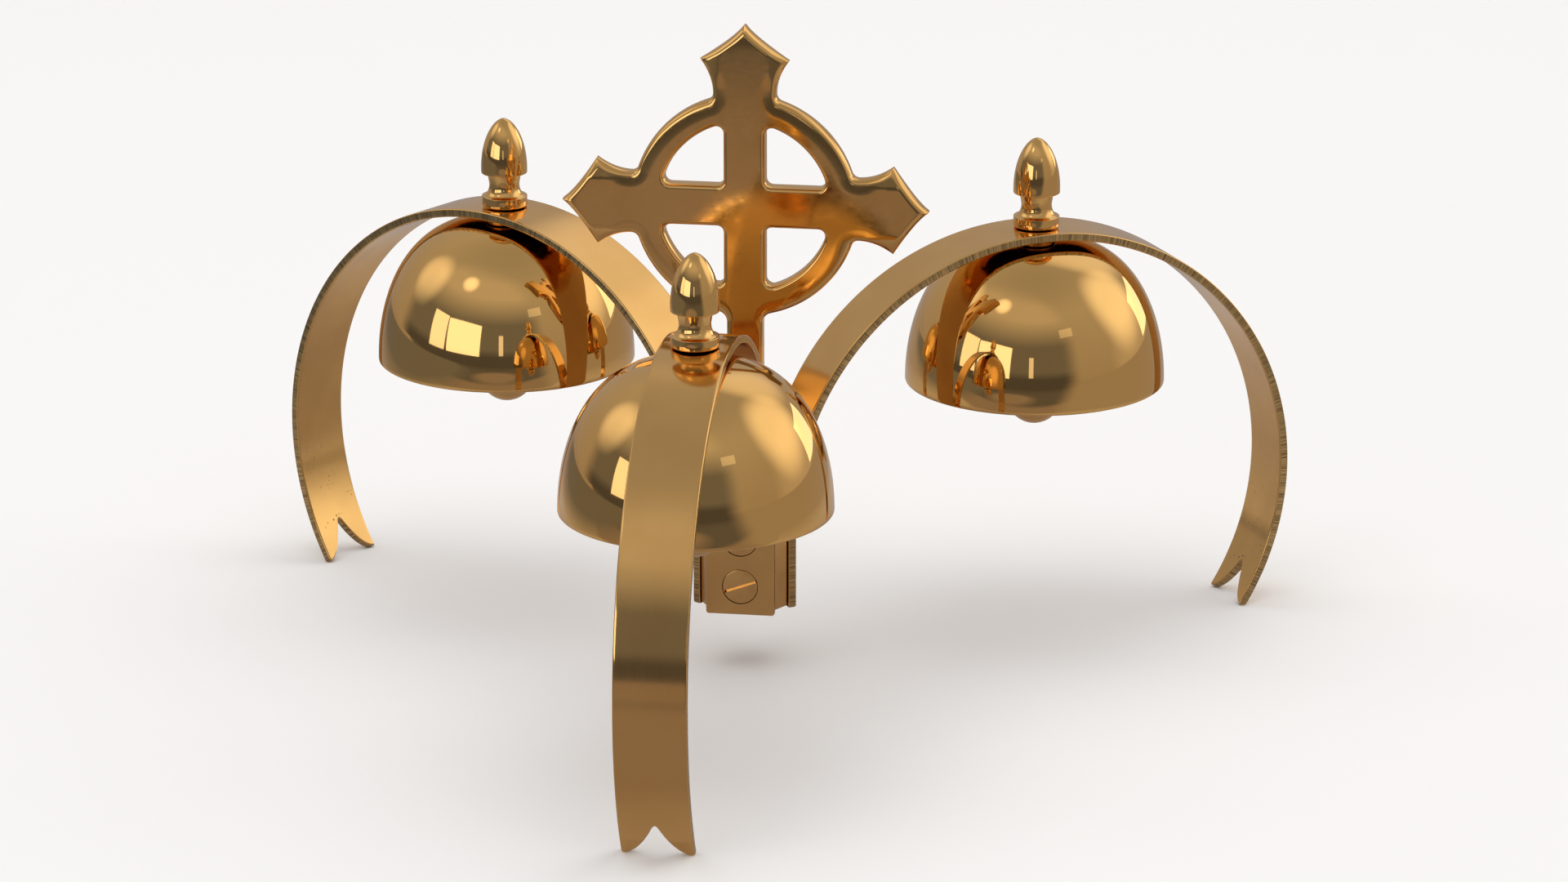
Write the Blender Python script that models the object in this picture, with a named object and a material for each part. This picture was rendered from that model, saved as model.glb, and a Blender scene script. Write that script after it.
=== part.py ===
"""Sanctus bell: three brass bells on arched legs round a hub, with a ringed cross for a handle.

Three flat brass strips are screwed to the hub, 120 degrees apart. Each one rises from the hub,
arches over its bell and comes down to a swallow-tailed foot. A bolt hangs the bell under the top
of the arch, and its clapper swings on a stirrup that turns on that bolt. Units are metres, +Z is
up, the feet stand on z = 0 and the origin is in the middle of the space that the object takes up.
"""

import math

import bmesh
import bpy
from mathutils import Matrix, Vector

MM = 0.001

# Gap between pieces that touch, and around a shank in its hole
GAP = 0.25 * MM
ROUND_SIDES = 16
BELL_SIDES = 36

# Bells: a dome that follows a superellipse, hung with its lip this high above the floor
BELL_RADIUS = 31.0 * MM
BELL_HEIGHT = 34.3 * MM
BELL_WALL = 1.5 * MM
BELL_WIDTH_POWER = 2.86
BELL_HEIGHT_POWER = 1.98
LIP_Z = 61.6 * MM
LIP_ROUND = 0.4 * MM
BELL_REACH = 74.2 * MM
BELL_STEPS = 10

# Strips: straight up the hub, a quarter arch, a short level top, then the leg's longer arc
STRAP_WIDTH = 16.3 * MM
STRAP_THICKNESS = 2.0 * MM
STRAP_BOTTOM_Z = 14.45 * MM
STRAP_TOP_Z = 99.45 * MM
HUB_ARC_RADIUS = 63.75 * MM
LEG_ARC_RADIUS = 63.45 * MM
LEG_CENTRE = 74.0 * MM
LEG_ANGLE = math.radians(33.45)
ARCH_STEPS = 16
LEG_STEPS = 22
NOTCH_DEPTH = 9.4 * MM
NOTCH_POWER = 1.9
NOTCH_ROUND = 0.9
NOTCH_STEPS = 8

# Hub: a six-sided block with three wide faces for the strips
HUB_FACE = 7.6 * MM
HUB_FACE_WIDTH = 15.4 * MM
HUB_CORNER = 0.8 * MM
HUB_BOTTOM_Z = 15.05 * MM
HUB_TOP_Z = 38.35 * MM

# Slotted countersunk screws that hold the strips
SCREW_HEAD_RADIUS = 4.2 * MM
SCREW_RIM = 0.5 * MM
SCREW_RADIUS = 2.0 * MM
SCREW_LENGTH = 6.0 * MM
SCREW_RECESS = 0.1 * MM
SCREW_HEIGHTS = {"lower": 21.45 * MM, "upper": 33.25 * MM}
SLOT_WIDTH = 0.8 * MM
SLOT_DEPTH = 0.9 * MM
SLOT_TILT = math.radians(20.0)

# Acorn finials, nuts on the hanger bolts
FINIAL_HEIGHT = 21.45 * MM
FINIAL_DISC_RADIUS = 5.35 * MM
FINIAL_DISC_HEIGHT = 2.0 * MM
FINIAL_NECK_RADIUS = 3.55 * MM
FINIAL_NECK_Z = 5.2 * MM
ACORN_RADIUS = 5.45 * MM
ACORN_Z = 7.2 * MM
ACORN_BELLY_Z = 9.2 * MM
ACORN_POWER = 1.75
FINIAL_BORE_DEPTH = 10.0 * MM

# Hanging gear inside each bell, from the crown down
BOLT_RADIUS = 2.0 * MM
BOLT_HEAD_RADIUS = 3.4 * MM
BOLT_HEAD_HEIGHT = 2.0 * MM
SPACER_RADIUS = 4.6 * MM
SPACER_HEIGHT = 0.9 * MM
NUT_RADIUS = 4.0 * MM
NUT_HEIGHT = 3.0 * MM
STIRRUP_WIDTH = 11.2 * MM
STIRRUP_DEPTH = 5.0 * MM
STIRRUP_PLATE = 1.2 * MM
STIRRUP_TOP_Z = 90.95 * MM
STIRRUP_EAR = 2.4 * MM
PIN_Z = 83.95 * MM
PIN_RADIUS = 1.0 * MM
PIN_HEAD_RADIUS = 1.7 * MM
PIN_HEAD = 0.6 * MM

# Clappers
EYE_RADIUS = 2.7 * MM
EYE_WIDTH = 2.4 * MM
ROD_RADIUS = 1.1 * MM
BALL_RADIUS = 6.7 * MM
BALL_Z = 57.45 * MM
ROD_IN_BALL = 5.0 * MM

# Cross: three pointed arms and a stem through a ring
CROSS_Z = 112.15 * MM
CROSS_THICKNESS = 5.4 * MM
CROSS_EDGE = 1.4 * MM
RING_OUTER = 26.5 * MM
RING_INNER = 20.1 * MM
BAR_HALF = 4.9 * MM
STEM_HALF = 4.25 * MM
ARM_TIP = 43.4 * MM
ARM_CORNER = 34.8 * MM
ARM_CORNER_HALF = 10.4 * MM
ARM_NECK_HALF = 7.4 * MM
ARM_POINT_POWER = 1.24
HOLE_CORNER = 1.6 * MM
RING_STEPS = 8
ARM_STEPS = 5
TENON_RADIUS = 2.5 * MM
STEM_NUT_RADIUS = 4.4 * MM
STEM_NUT_HEIGHT = 3.2 * MM

# Direction of each leg, turned about the hub's axis from +X
STATIONS = {"front": math.radians(-90), "right": math.radians(30), "left": math.radians(150)}

# The hub stands off the origin so that the feet's span is centred on it
LEG_REACH = LEG_CENTRE + LEG_ARC_RADIUS + STRAP_THICKNESS / 2
BACK_REACH = LEG_REACH * math.sin(math.radians(30)) + STRAP_WIDTH / 2 * math.cos(math.radians(30))
HUB_Y = (LEG_REACH - BACK_REACH) / 2

CROWN_Z = LIP_Z + BELL_HEIGHT
FINIAL_Z = STRAP_TOP_Z + GAP
BORE_RADIUS = BOLT_RADIUS + GAP


def brass(name, colour, roughness):
    """Principled brass of one finish."""
    material = bpy.data.materials.new(name)
    material.use_nodes = True
    shader = material.node_tree.nodes["Principled BSDF"]
    shader.inputs["Base Color"].default_value = (*colour, 1.0)
    shader.inputs["Metallic"].default_value = 1.0
    shader.inputs["Roughness"].default_value = roughness
    return material


def empty(name, parent=None, location=(0, 0, 0), turn=0.0):
    """Empty that carries the pieces of one leg or one moving body."""
    holder = bpy.data.objects.new(name, None)
    bpy.context.collection.objects.link(holder)
    holder.parent = parent
    holder.location = location
    holder.rotation_euler = (0, 0, turn)
    return holder


def add_piece(name, mesh, parent, location=(0, 0, 0), rotation=(0, 0, 0)):
    """Object for one piece of the real thing."""
    piece = bpy.data.objects.new(name, mesh)
    bpy.context.collection.objects.link(piece)
    piece.parent = parent
    piece.location = location
    piece.rotation_euler = rotation
    return piece


def add_cutter(name, mesh, parent, location=(0, 0, 0)):
    """Object that only shapes others."""
    cutter = add_piece(name, mesh, parent, location)
    cutter.hide_render = True
    cutter.display_type = "WIRE"
    return cutter


def boolean(piece, cutter, operation="DIFFERENCE"):
    """Cut one object with another, or join them."""
    modifier = piece.modifiers.new(cutter.name, "BOOLEAN")
    modifier.operation = operation
    modifier.object = cutter


def finish_mesh(bm, name, material=None, smooth=True):
    """Mesh from a bmesh, facing out, smooth over its round stretches."""
    bmesh.ops.recalc_face_normals(bm, faces=bm.faces)
    mesh = bpy.data.meshes.new(name)
    bm.to_mesh(mesh)
    bm.free()
    if material:
        mesh.materials.append(material)
    if smooth:
        mesh.shade_smooth()
        mesh.set_sharp_from_angle(angle=math.radians(35))
    return mesh


def turn_profile(bm, profile, sides):
    """Spin a closed outline of (radius, height) points about Z."""
    verts = [bm.verts.new((radius, 0, height)) for radius, height in profile]
    edges = [bm.edges.new((a, b)) for a, b in zip(verts, verts[1:])]
    if profile[0][0] > 0:
        edges.append(bm.edges.new((verts[-1], verts[0])))
    bmesh.ops.spin(
        bm,
        geom=verts + edges,
        axis=(0, 0, 1),
        cent=(0, 0, 0),
        steps=sides,
        angle=2 * math.pi,
        use_merge=True,
    )
    bmesh.ops.remove_doubles(bm, verts=bm.verts, dist=0.001 * MM)


def turned(name, profile, material=None, sides=ROUND_SIDES):
    """Turned piece on the Z axis."""
    bm = bmesh.new()
    turn_profile(bm, profile, sides)
    return finish_mesh(bm, name, material)


def add_prism(bm, outline, depth, matrix=Matrix()):
    """Extrude an outline in XY by depth, centred on it, then place it."""
    verts = [bm.verts.new((x, y, -depth / 2)) for x, y in outline]
    face = bm.faces.new(verts)
    walls = bmesh.ops.extrude_face_region(bm, geom=[face])
    raised = [v for v in walls["geom"] if isinstance(v, bmesh.types.BMVert)]
    bmesh.ops.translate(bm, verts=raised, vec=(0, 0, depth))
    bmesh.ops.transform(bm, matrix=matrix, verts=verts + raised)


def add_loft(bm, levels, matrix):
    """Skin outlines of equal count at rising heights, close both ends, then place it."""
    rings = [[bm.verts.new((x, y, z)) for x, y in outline] for z, outline in levels]
    for lower, upper in zip(rings, rings[1:]):
        for i, corner in enumerate(lower):
            bm.faces.new((lower[i - 1], corner, upper[i], upper[i - 1]))
    bm.faces.new(rings[0])
    bm.faces.new(rings[-1])
    bmesh.ops.transform(bm, matrix=matrix, verts=[v for ring in rings for v in ring])


def circle(radius, sides):
    """Points of a circle in order."""
    turns = [2 * math.pi * i / sides for i in range(sides)]
    return [(radius * math.cos(t), radius * math.sin(t)) for t in turns]


def arc(centre, radius, start, end, steps):
    """Points of an arc, both ends included."""
    turns = [start + (end - start) * i / steps for i in range(steps + 1)]
    return [(centre[0] + radius * math.cos(t), centre[1] + radius * math.sin(t)) for t in turns]


def dome(radius, height, inner_radius, steps):
    """Superellipse curve from a hole in the crown down to the lip."""
    last = math.acos((inner_radius / radius) ** (BELL_WIDTH_POWER / 2))
    points = []
    for i in range(steps + 1):
        t = last * (1 - i / steps)
        r = radius * math.cos(t) ** (2 / BELL_WIDTH_POWER)
        points.append((r, height * math.sin(t) ** (2 / BELL_HEIGHT_POWER)))
    return points


def bell_mesh(material):
    """Bell with its lip on z = 0, an even wall and a hole for the bolt in its crown."""
    inner_radius = BELL_RADIUS - BELL_WALL
    outside = dome(BELL_RADIUS, BELL_HEIGHT, BORE_RADIUS, BELL_STEPS)[:-1]
    inside = dome(inner_radius, BELL_HEIGHT - BELL_WALL, BORE_RADIUS, BELL_STEPS - 2)[:-1]
    lip = [(BELL_RADIUS, LIP_ROUND), (BELL_RADIUS - LIP_ROUND, 0)]
    lip += [(inner_radius + LIP_ROUND, 0), (inner_radius, LIP_ROUND)]
    return turned("bell", outside + lip + inside[::-1], material, BELL_SIDES)


def finial_mesh(material):
    """Acorn nut: a disc foot, a waisted neck and a pointed cap, bored from below."""
    bore = [(0, FINIAL_BORE_DEPTH), (BORE_RADIUS, FINIAL_BORE_DEPTH), (BORE_RADIUS, 0)]
    disc = [(FINIAL_DISC_RADIUS - GAP, 0), (FINIAL_DISC_RADIUS, GAP)]
    disc += [(FINIAL_DISC_RADIUS, FINIAL_DISC_HEIGHT - GAP)]
    neck = []
    for i in range(5):
        t = i / 4 * math.pi / 2
        r = FINIAL_DISC_RADIUS - (FINIAL_DISC_RADIUS - FINIAL_NECK_RADIUS) * math.sin(t)
        z = FINIAL_NECK_Z - (FINIAL_NECK_Z - FINIAL_DISC_HEIGHT) * math.cos(t)
        neck.append((r, z))
    neck.append((FINIAL_NECK_RADIUS, ACORN_Z))
    cap = [((FINIAL_NECK_RADIUS + ACORN_RADIUS) / 2, ACORN_Z)]
    for i in range(9):
        share = math.sin(i / 8 * math.pi / 2)
        r = ACORN_RADIUS * (1 - share**ACORN_POWER) ** (1 / ACORN_POWER)
        cap.append((r, ACORN_BELLY_Z + (FINIAL_HEIGHT - ACORN_BELLY_Z) * share))
    cap[-1] = (0, FINIAL_HEIGHT)
    return turned("finial", bore + disc + neck + cap, material)


def strap_edge(offset):
    """Side line of the strip at an offset outward from its middle, from the hub to past the foot."""
    middle_z = STRAP_TOP_Z - STRAP_THICKNESS / 2
    hub_centre = HUB_FACE + STRAP_THICKNESS / 2 + HUB_ARC_RADIUS
    hub_z = middle_z - HUB_ARC_RADIUS
    radius = HUB_ARC_RADIUS + offset
    points = [(hub_centre - radius, STRAP_BOTTOM_Z)]
    for i in range(ARCH_STEPS + 1):
        t = math.pi - math.pi / 2 * i / ARCH_STEPS
        points.append((hub_centre + radius * math.cos(t), hub_z + radius * math.sin(t)))
    leg_z = middle_z - LEG_ARC_RADIUS
    radius = LEG_ARC_RADIUS + offset
    spare = 3.0 * MM / LEG_ARC_RADIUS
    for i in range(LEG_STEPS + 1):
        t = math.pi / 2 - (math.pi / 2 + LEG_ANGLE + spare) * i / LEG_STEPS
        points.append((LEG_CENTRE + radius * math.cos(t), leg_z + radius * math.sin(t)))
    return points


def strap_mesh(material):
    """Bent strip, uncut, in the XZ plane with its width across Y."""
    outline = strap_edge(STRAP_THICKNESS / 2) + strap_edge(-STRAP_THICKNESS / 2)[::-1]
    bm = bmesh.new()
    add_prism(bm, outline, STRAP_WIDTH, Matrix.Rotation(math.pi / 2, 4, "X"))
    return finish_mesh(bm, "strap", material)


def notch_height(share):
    """Height of the foot's cut edge at a share of the way from its tip to the middle line."""
    join = NOTCH_ROUND**NOTCH_POWER
    slope = NOTCH_POWER * NOTCH_ROUND ** (NOTCH_POWER - 1)
    top = join + slope * (1 - NOTCH_ROUND) / 2
    if share < NOTCH_ROUND:
        return NOTCH_DEPTH * share**NOTCH_POWER / top
    short = (1 - share) / (1 - NOTCH_ROUND)
    return NOTCH_DEPTH * (top - (top - join) * short**2) / top


def foot_cutter_mesh():
    """Everything below the swallow-tailed end, cut square to the strip, and below the floor."""
    half = STRAP_WIDTH / 2
    margin = 3.0 * MM
    outline = [(-half - margin, -2 * margin), (-half - margin, 0)]
    rising = [i / NOTCH_STEPS for i in range(NOTCH_STEPS)]
    outline += [(half * (f - 1), notch_height(f)) for f in rising]
    outline += [(half * (1 - f), notch_height(f)) for f in [1.0] + rising[::-1]]
    outline += [(half + margin, 0), (half + margin, -2 * margin)]
    middle = LEG_ANGLE - NOTCH_DEPTH / 2 / LEG_ARC_RADIUS
    tip_x = LEG_CENTRE + LEG_ARC_RADIUS * math.cos(LEG_ANGLE)
    tip_z = STRAP_TOP_Z - STRAP_THICKNESS / 2 - LEG_ARC_RADIUS * (1 + math.sin(LEG_ANGLE))
    place = Matrix.Translation((tip_x, 0, tip_z)) @ Matrix.Rotation(middle, 4, "Y")
    stand_up = Matrix(((0, 0, 1, 0), (1, 0, 0, 0), (0, 1, 0, 0), (0, 0, 0, 1)))
    bm = bmesh.new()
    add_prism(bm, outline, 4 * margin, place @ stand_up)
    return finish_mesh(bm, "foot_cutter", smooth=False)


def floor_cutter_mesh():
    """Slab under the floor that squares off the tips of the feet."""
    bm = bmesh.new()
    bmesh.ops.create_cube(bm, size=2 * STRAP_WIDTH)
    bmesh.ops.translate(bm, verts=bm.verts, vec=(LEG_REACH, 0, -STRAP_WIDTH))
    return finish_mesh(bm, "floor_cutter", smooth=False)


def strap_hole_mesh():
    """Hole for the hanger bolt and the two countersunk holes for the hub screws."""
    bm = bmesh.new()
    up = Matrix.Translation((BELL_REACH, 0, STRAP_TOP_Z))
    add_prism(bm, circle(BORE_RADIUS, ROUND_SIDES), 4 * STRAP_THICKNESS, up)
    for height in SCREW_HEIGHTS.values():
        hole = bmesh.new()
        turn_profile(hole, screw_profile(GAP, STRAP_THICKNESS), ROUND_SIDES)
        lay = Matrix.Rotation(math.pi / 2, 4, "Y")
        face = HUB_FACE + STRAP_THICKNESS - SCREW_RECESS
        bmesh.ops.transform(hole, matrix=Matrix.Translation((face, 0, height)) @ lay, verts=hole.verts)
        part = bpy.data.meshes.new("hole")
        hole.to_mesh(part)
        hole.free()
        bm.from_mesh(part)
    return finish_mesh(bm, "strap_hole", smooth=False)


def screw_profile(grow, spare):
    """Countersunk screw along Z with its face on z = 0, grown for its hole, with spare above it."""
    head = SCREW_HEAD_RADIUS + grow
    shank = SCREW_RADIUS + grow
    cone_end = -SCREW_RIM - (SCREW_HEAD_RADIUS - SCREW_RADIUS)
    end = -SCREW_LENGTH - grow
    profile = [(0, spare), (head, spare), (head, -SCREW_RIM - grow / 2), (shank, cone_end - grow / 2)]
    return profile + [(shank, end + SCREW_RIM), (shank - SCREW_RIM, end), (0, end)]


def slot_cutter_mesh():
    """Driver slot across a screw head that faces +Z."""
    bm = bmesh.new()
    size = (2.4 * SCREW_HEAD_RADIUS, SLOT_WIDTH, 2 * SLOT_DEPTH, 1)
    bmesh.ops.create_cube(bm, size=1, matrix=Matrix.Diagonal(size))
    return finish_mesh(bm, "slot_cutter", smooth=False)


def hub_mesh(material):
    """Six-sided block: three wide faces towards the strips, with eased upright corners."""
    outline = []
    for angle in STATIONS.values():
        for side in (-0.5, 0.5):
            corner = Vector((HUB_FACE - GAP, side * HUB_FACE_WIDTH, 0))
            outline.append((Matrix.Rotation(angle, 3, "Z") @ corner)[:2])
    bm = bmesh.new()
    middle = Matrix.Translation((0, 0, (HUB_BOTTOM_Z + HUB_TOP_Z) / 2))
    add_prism(bm, outline, HUB_TOP_Z - HUB_BOTTOM_Z, middle)
    upright = [e for e in bm.edges if abs(e.verts[0].co.z - e.verts[1].co.z) > HUB_CORNER]
    bmesh.ops.bevel(bm, geom=upright, offset=HUB_CORNER, segments=2, profile=0.5, affect="EDGES")
    return finish_mesh(bm, "hub_core", material, smooth=False)


def hub_bore_mesh():
    """Bore for the tenon with a sunk seat for its nut."""
    bore = TENON_RADIUS + GAP
    seat = STEM_NUT_RADIUS + GAP
    seat_z = HUB_BOTTOM_Z + STEM_NUT_HEIGHT + 2 * GAP
    spare = 2.0 * MM
    profile = [(0, HUB_TOP_Z + spare), (bore, HUB_TOP_Z + spare), (bore, seat_z)]
    profile += [(seat, seat_z), (seat, HUB_BOTTOM_Z - spare), (0, HUB_BOTTOM_Z - spare)]
    return turned("hub_bore", profile)


def arm_outline():
    """One pointed arm along +X, from the ring's lower corner round the tip to the upper one."""
    neck_x = math.sqrt(RING_OUTER**2 - ARM_NECK_HALF**2)
    lower = [(neck_x, -ARM_NECK_HALF)]
    for i in range(1, ARM_STEPS + 1):
        f = i / ARM_STEPS
        half = ARM_NECK_HALF + (ARM_CORNER_HALF - ARM_NECK_HALF) * f**2
        lower.append((neck_x + (ARM_CORNER - neck_x) * f, -half))
    for i in range(1, ARM_STEPS):
        f = i / ARM_STEPS
        half = ARM_CORNER_HALF * (1 - f) ** ARM_POINT_POWER
        lower.append((ARM_CORNER + (ARM_TIP - ARM_CORNER) * f, -half))
    return lower + [(ARM_TIP, 0)] + [(x, -y) for x, y in lower[::-1]]


def ring_arc(start, end):
    """Points on the outside of the ring, ends left out."""
    return arc((0, 0), RING_OUTER, start, end, RING_STEPS)[1:-1]


def cross_outline():
    """Outline seen from the front: right arm, top arm, left arm and the stem, joined by the ring."""
    neck = math.asin(ARM_NECK_HALF / RING_OUTER)
    foot = math.asin(STEM_HALF / RING_OUTER)
    arm = arm_outline()
    outline = list(arm)
    outline += ring_arc(neck, math.pi / 2 - neck)
    outline += [(-y, x) for x, y in arm]
    outline += ring_arc(math.pi / 2 + neck, math.pi - neck)
    outline += [(-x, -y) for x, y in arm]
    outline += ring_arc(math.pi + neck, 1.5 * math.pi - foot)
    stem_end = HUB_TOP_Z + GAP - CROSS_Z
    stem_top = -RING_OUTER * math.cos(foot)
    outline += [(-STEM_HALF, stem_top), (-STEM_HALF, stem_end), (STEM_HALF, stem_end), (STEM_HALF, stem_top)]
    outline += ring_arc(1.5 * math.pi + foot, 2 * math.pi - neck)
    return outline


def quarter_outline(grow):
    """Opening between two bars of the cross inside the ring, with rounded corners, grown all round."""
    low = BAR_HALF + HOLE_CORNER
    reach = RING_INNER - HOLE_CORNER
    side = math.asin(low / reach)
    far = reach * math.cos(side)
    corner = HOLE_CORNER + grow
    points = arc((low, low), corner, math.pi, 1.5 * math.pi, 3)
    points += arc((far, low), corner, -math.pi / 2, side, 3)
    points += arc((0, 0), RING_INNER + grow, side, math.pi / 2 - side, RING_STEPS)[1:-1]
    points += arc((low, far), corner, math.pi / 2 - side, math.pi, 3)
    return points


def stand_in_front(height):
    """Matrix that stands an XY outline up to face -Y, centred on a height."""
    return Matrix.Translation((0, 0, height)) @ Matrix.Rotation(math.pi / 2, 4, "X")


def cross_mesh(material):
    """Cross without its openings, with eased front and back edges."""
    bm = bmesh.new()
    add_prism(bm, cross_outline(), CROSS_THICKNESS, stand_in_front(CROSS_Z))
    ease_edges(bm)
    return finish_mesh(bm, "cross", material)


def ease_edges(bm):
    """Chamfer the edges that bound the front and back faces."""
    rims = [e for e in bm.edges if abs(e.verts[0].co.y - e.verts[1].co.y) < GAP]
    bmesh.ops.bevel(bm, geom=rims, offset=CROSS_EDGE, segments=1, affect="EDGES", clamp_overlap=True)


def quarter_cutter_mesh():
    """The four openings of the cross, flared at both faces to ease their edges."""
    spare = 1.0 * MM
    face = CROSS_THICKNESS / 2
    levels = [(-face - spare, CROSS_EDGE + spare), (CROSS_EDGE - face, 0)]
    levels += [(face - CROSS_EDGE, 0), (face + spare, CROSS_EDGE + spare)]
    bm = bmesh.new()
    for i in range(4):
        turn = Matrix.Rotation(i * math.pi / 2, 4, "Z")
        add_loft(bm, [(z, quarter_outline(grow)) for z, grow in levels], stand_in_front(CROSS_Z) @ turn)
    return finish_mesh(bm, "quarter_cutter", smooth=False)


def tenon_mesh():
    """Round tenon under the stem, down through the hub to its nut."""
    bm = bmesh.new()
    top = HUB_TOP_Z + 2 * STEM_HALF
    bottom = HUB_BOTTOM_Z + GAP
    middle = Matrix.Translation((0, 0, (top + bottom) / 2))
    add_prism(bm, circle(TENON_RADIUS, ROUND_SIDES), top - bottom, middle)
    return finish_mesh(bm, "tenon", smooth=False)


def bolt_mesh(material):
    """Hanger bolt: domed head inside the bell, shank up into the finial."""
    head_z = STIRRUP_TOP_Z - STIRRUP_PLATE - GAP
    foot_z = head_z - BOLT_HEAD_HEIGHT
    tip_z = FINIAL_Z + FINIAL_BORE_DEPTH - 2 * GAP
    profile = [(0, tip_z), (BOLT_RADIUS - GAP, tip_z), (BOLT_RADIUS, tip_z - GAP)]
    profile += [(BOLT_RADIUS, head_z), (BOLT_HEAD_RADIUS, head_z)]
    profile += [(BOLT_HEAD_RADIUS, head_z - BOLT_HEAD_HEIGHT / 2)]
    profile += [(BOLT_HEAD_RADIUS * 0.6, foot_z), (0, foot_z)]
    return turned("hanger_bolt", profile, material)


def ring_mesh(name, radius, height, bore, material):
    """Flat ring standing on z = 0, bored through."""
    profile = [(bore, height), (radius, height), (radius, 0), (bore, 0)]
    return turned(name, profile, material)


def disc_mesh(name, radius, height, sides, material=None):
    """Disc, or hexagon of six sides, standing on z = 0."""
    bm = bmesh.new()
    add_prism(bm, circle(radius, sides), height, Matrix.Translation((0, 0, height / 2)))
    return finish_mesh(bm, name, material, smooth=False)


def stirrup_mesh(material):
    """Upside-down U across Y: a plate for the bolt and two ears for the pin."""
    outer = STIRRUP_WIDTH / 2
    inner = outer - STIRRUP_PLATE
    bottom = PIN_Z - STIRRUP_EAR
    outline = [(-outer, bottom), (-inner, bottom), (-inner, STIRRUP_TOP_Z - STIRRUP_PLATE)]
    outline += [(inner, STIRRUP_TOP_Z - STIRRUP_PLATE), (inner, bottom), (outer, bottom)]
    outline += [(outer, STIRRUP_TOP_Z), (-outer, STIRRUP_TOP_Z)]
    across = Matrix.Rotation(math.pi / 2, 4, "Z") @ Matrix.Rotation(math.pi / 2, 4, "X")
    bm = bmesh.new()
    add_prism(bm, outline, STIRRUP_DEPTH, across)
    return finish_mesh(bm, "clapper_stirrup", material, smooth=False)


def along_y(height):
    """Matrix that lays a prism along Y at a height."""
    return Matrix.Translation((0, 0, height)) @ Matrix.Rotation(math.pi / 2, 4, "X")


def stirrup_hole_mesh():
    """Hole for the bolt through the plate and for the pin through both ears."""
    bm = bmesh.new()
    top = Matrix.Translation((0, 0, STIRRUP_TOP_Z))
    add_prism(bm, circle(BORE_RADIUS, ROUND_SIDES), 4 * STIRRUP_PLATE, top)
    add_prism(bm, circle(PIN_RADIUS + GAP, ROUND_SIDES), 2 * STIRRUP_WIDTH, along_y(PIN_Z))
    return finish_mesh(bm, "stirrup_hole", smooth=False)


def pin_mesh(material):
    """Rivet with a head at each end, along Z, centred."""
    half = STIRRUP_WIDTH / 2 + GAP
    end = half + PIN_HEAD
    profile = [(0, end), (PIN_HEAD_RADIUS, end), (PIN_HEAD_RADIUS, half), (PIN_RADIUS, half)]
    profile += [(r, -z) for r, z in profile[::-1]]
    return turned("clapper_pin", profile, material)


def rod_mesh(material):
    """Clapper rod below its eye, with its foot in the ball, measured from the pin."""
    top = -(PIN_RADIUS + EYE_RADIUS) / 2
    end = BALL_Z - PIN_Z + BALL_RADIUS - ROD_IN_BALL
    profile = [(0, top), (ROD_RADIUS, top), (ROD_RADIUS, end), (0, end)]
    return turned("clapper_rod", profile, material)


def eye_mesh(radius, width):
    """Disc along Y for the eye, or for the hole in it."""
    bm = bmesh.new()
    add_prism(bm, circle(radius, ROUND_SIDES), width, along_y(0))
    return finish_mesh(bm, "eye", smooth=False)


def ball_mesh(material):
    """Ball round the origin, bored from above for the rod."""
    bore = ROD_RADIUS + GAP
    depth = BALL_RADIUS - ROD_IN_BALL - GAP
    start = math.asin(bore / BALL_RADIUS)
    profile = [(0, depth), (bore, depth)]
    for i in range(13):
        t = start + (math.pi - start) * i / 12
        profile.append((BALL_RADIUS * math.sin(t), BALL_RADIUS * math.cos(t)))
    profile[-1] = (0, -BALL_RADIUS)
    return turned("clapper_ball", profile[::-1], material)


def build_hub(axis, finishes):
    """Hub block, the cross that stands in it and the nut that draws the cross down."""
    hub = add_piece("hub_core", hub_mesh(finishes["satin"]), axis)
    boolean(hub, add_cutter("hub_bore", hub_bore_mesh(), axis))
    cross = add_piece("cross", cross_mesh(finishes["cast"]), axis)
    boolean(cross, add_cutter("quarter_cutter", quarter_cutter_mesh(), axis))
    boolean(cross, add_cutter("tenon", tenon_mesh(), axis), "UNION")
    nut = ring_mesh("stem_nut", STEM_NUT_RADIUS, STEM_NUT_HEIGHT, TENON_RADIUS + GAP, finishes["turned"])
    add_piece("stem_nut", nut, axis, (0, 0, HUB_BOTTOM_Z + GAP))
    return hub


def build_strap(name, leg, hub, meshes):
    """One strip with its foot, holes and two hub screws."""
    strap = add_piece(f"strap_{name}", meshes["strap"], leg)
    boolean(strap, add_cutter(f"foot_cutter_{name}", meshes["foot"], leg))
    boolean(strap, add_cutter(f"floor_cutter_{name}", meshes["floor"], leg))
    boolean(strap, add_cutter(f"strap_hole_{name}", meshes["strap_hole"], leg))
    boolean(hub, add_cutter(f"screw_hole_{name}", meshes["strap_hole"], leg))
    for place, height in SCREW_HEIGHTS.items():
        face = HUB_FACE + STRAP_THICKNESS - SCREW_RECESS
        label = f"strap_screw_{name}_{place}"
        screw = add_piece(label, meshes["screw"], leg, (face, 0, height), (0, math.pi / 2, 0))
        slot = add_cutter(f"slot_{name}_{place}", meshes["slot"], screw)
        slot.rotation_euler = (0, 0, math.pi / 2 + SLOT_TILT)
        boolean(screw, slot)


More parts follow.
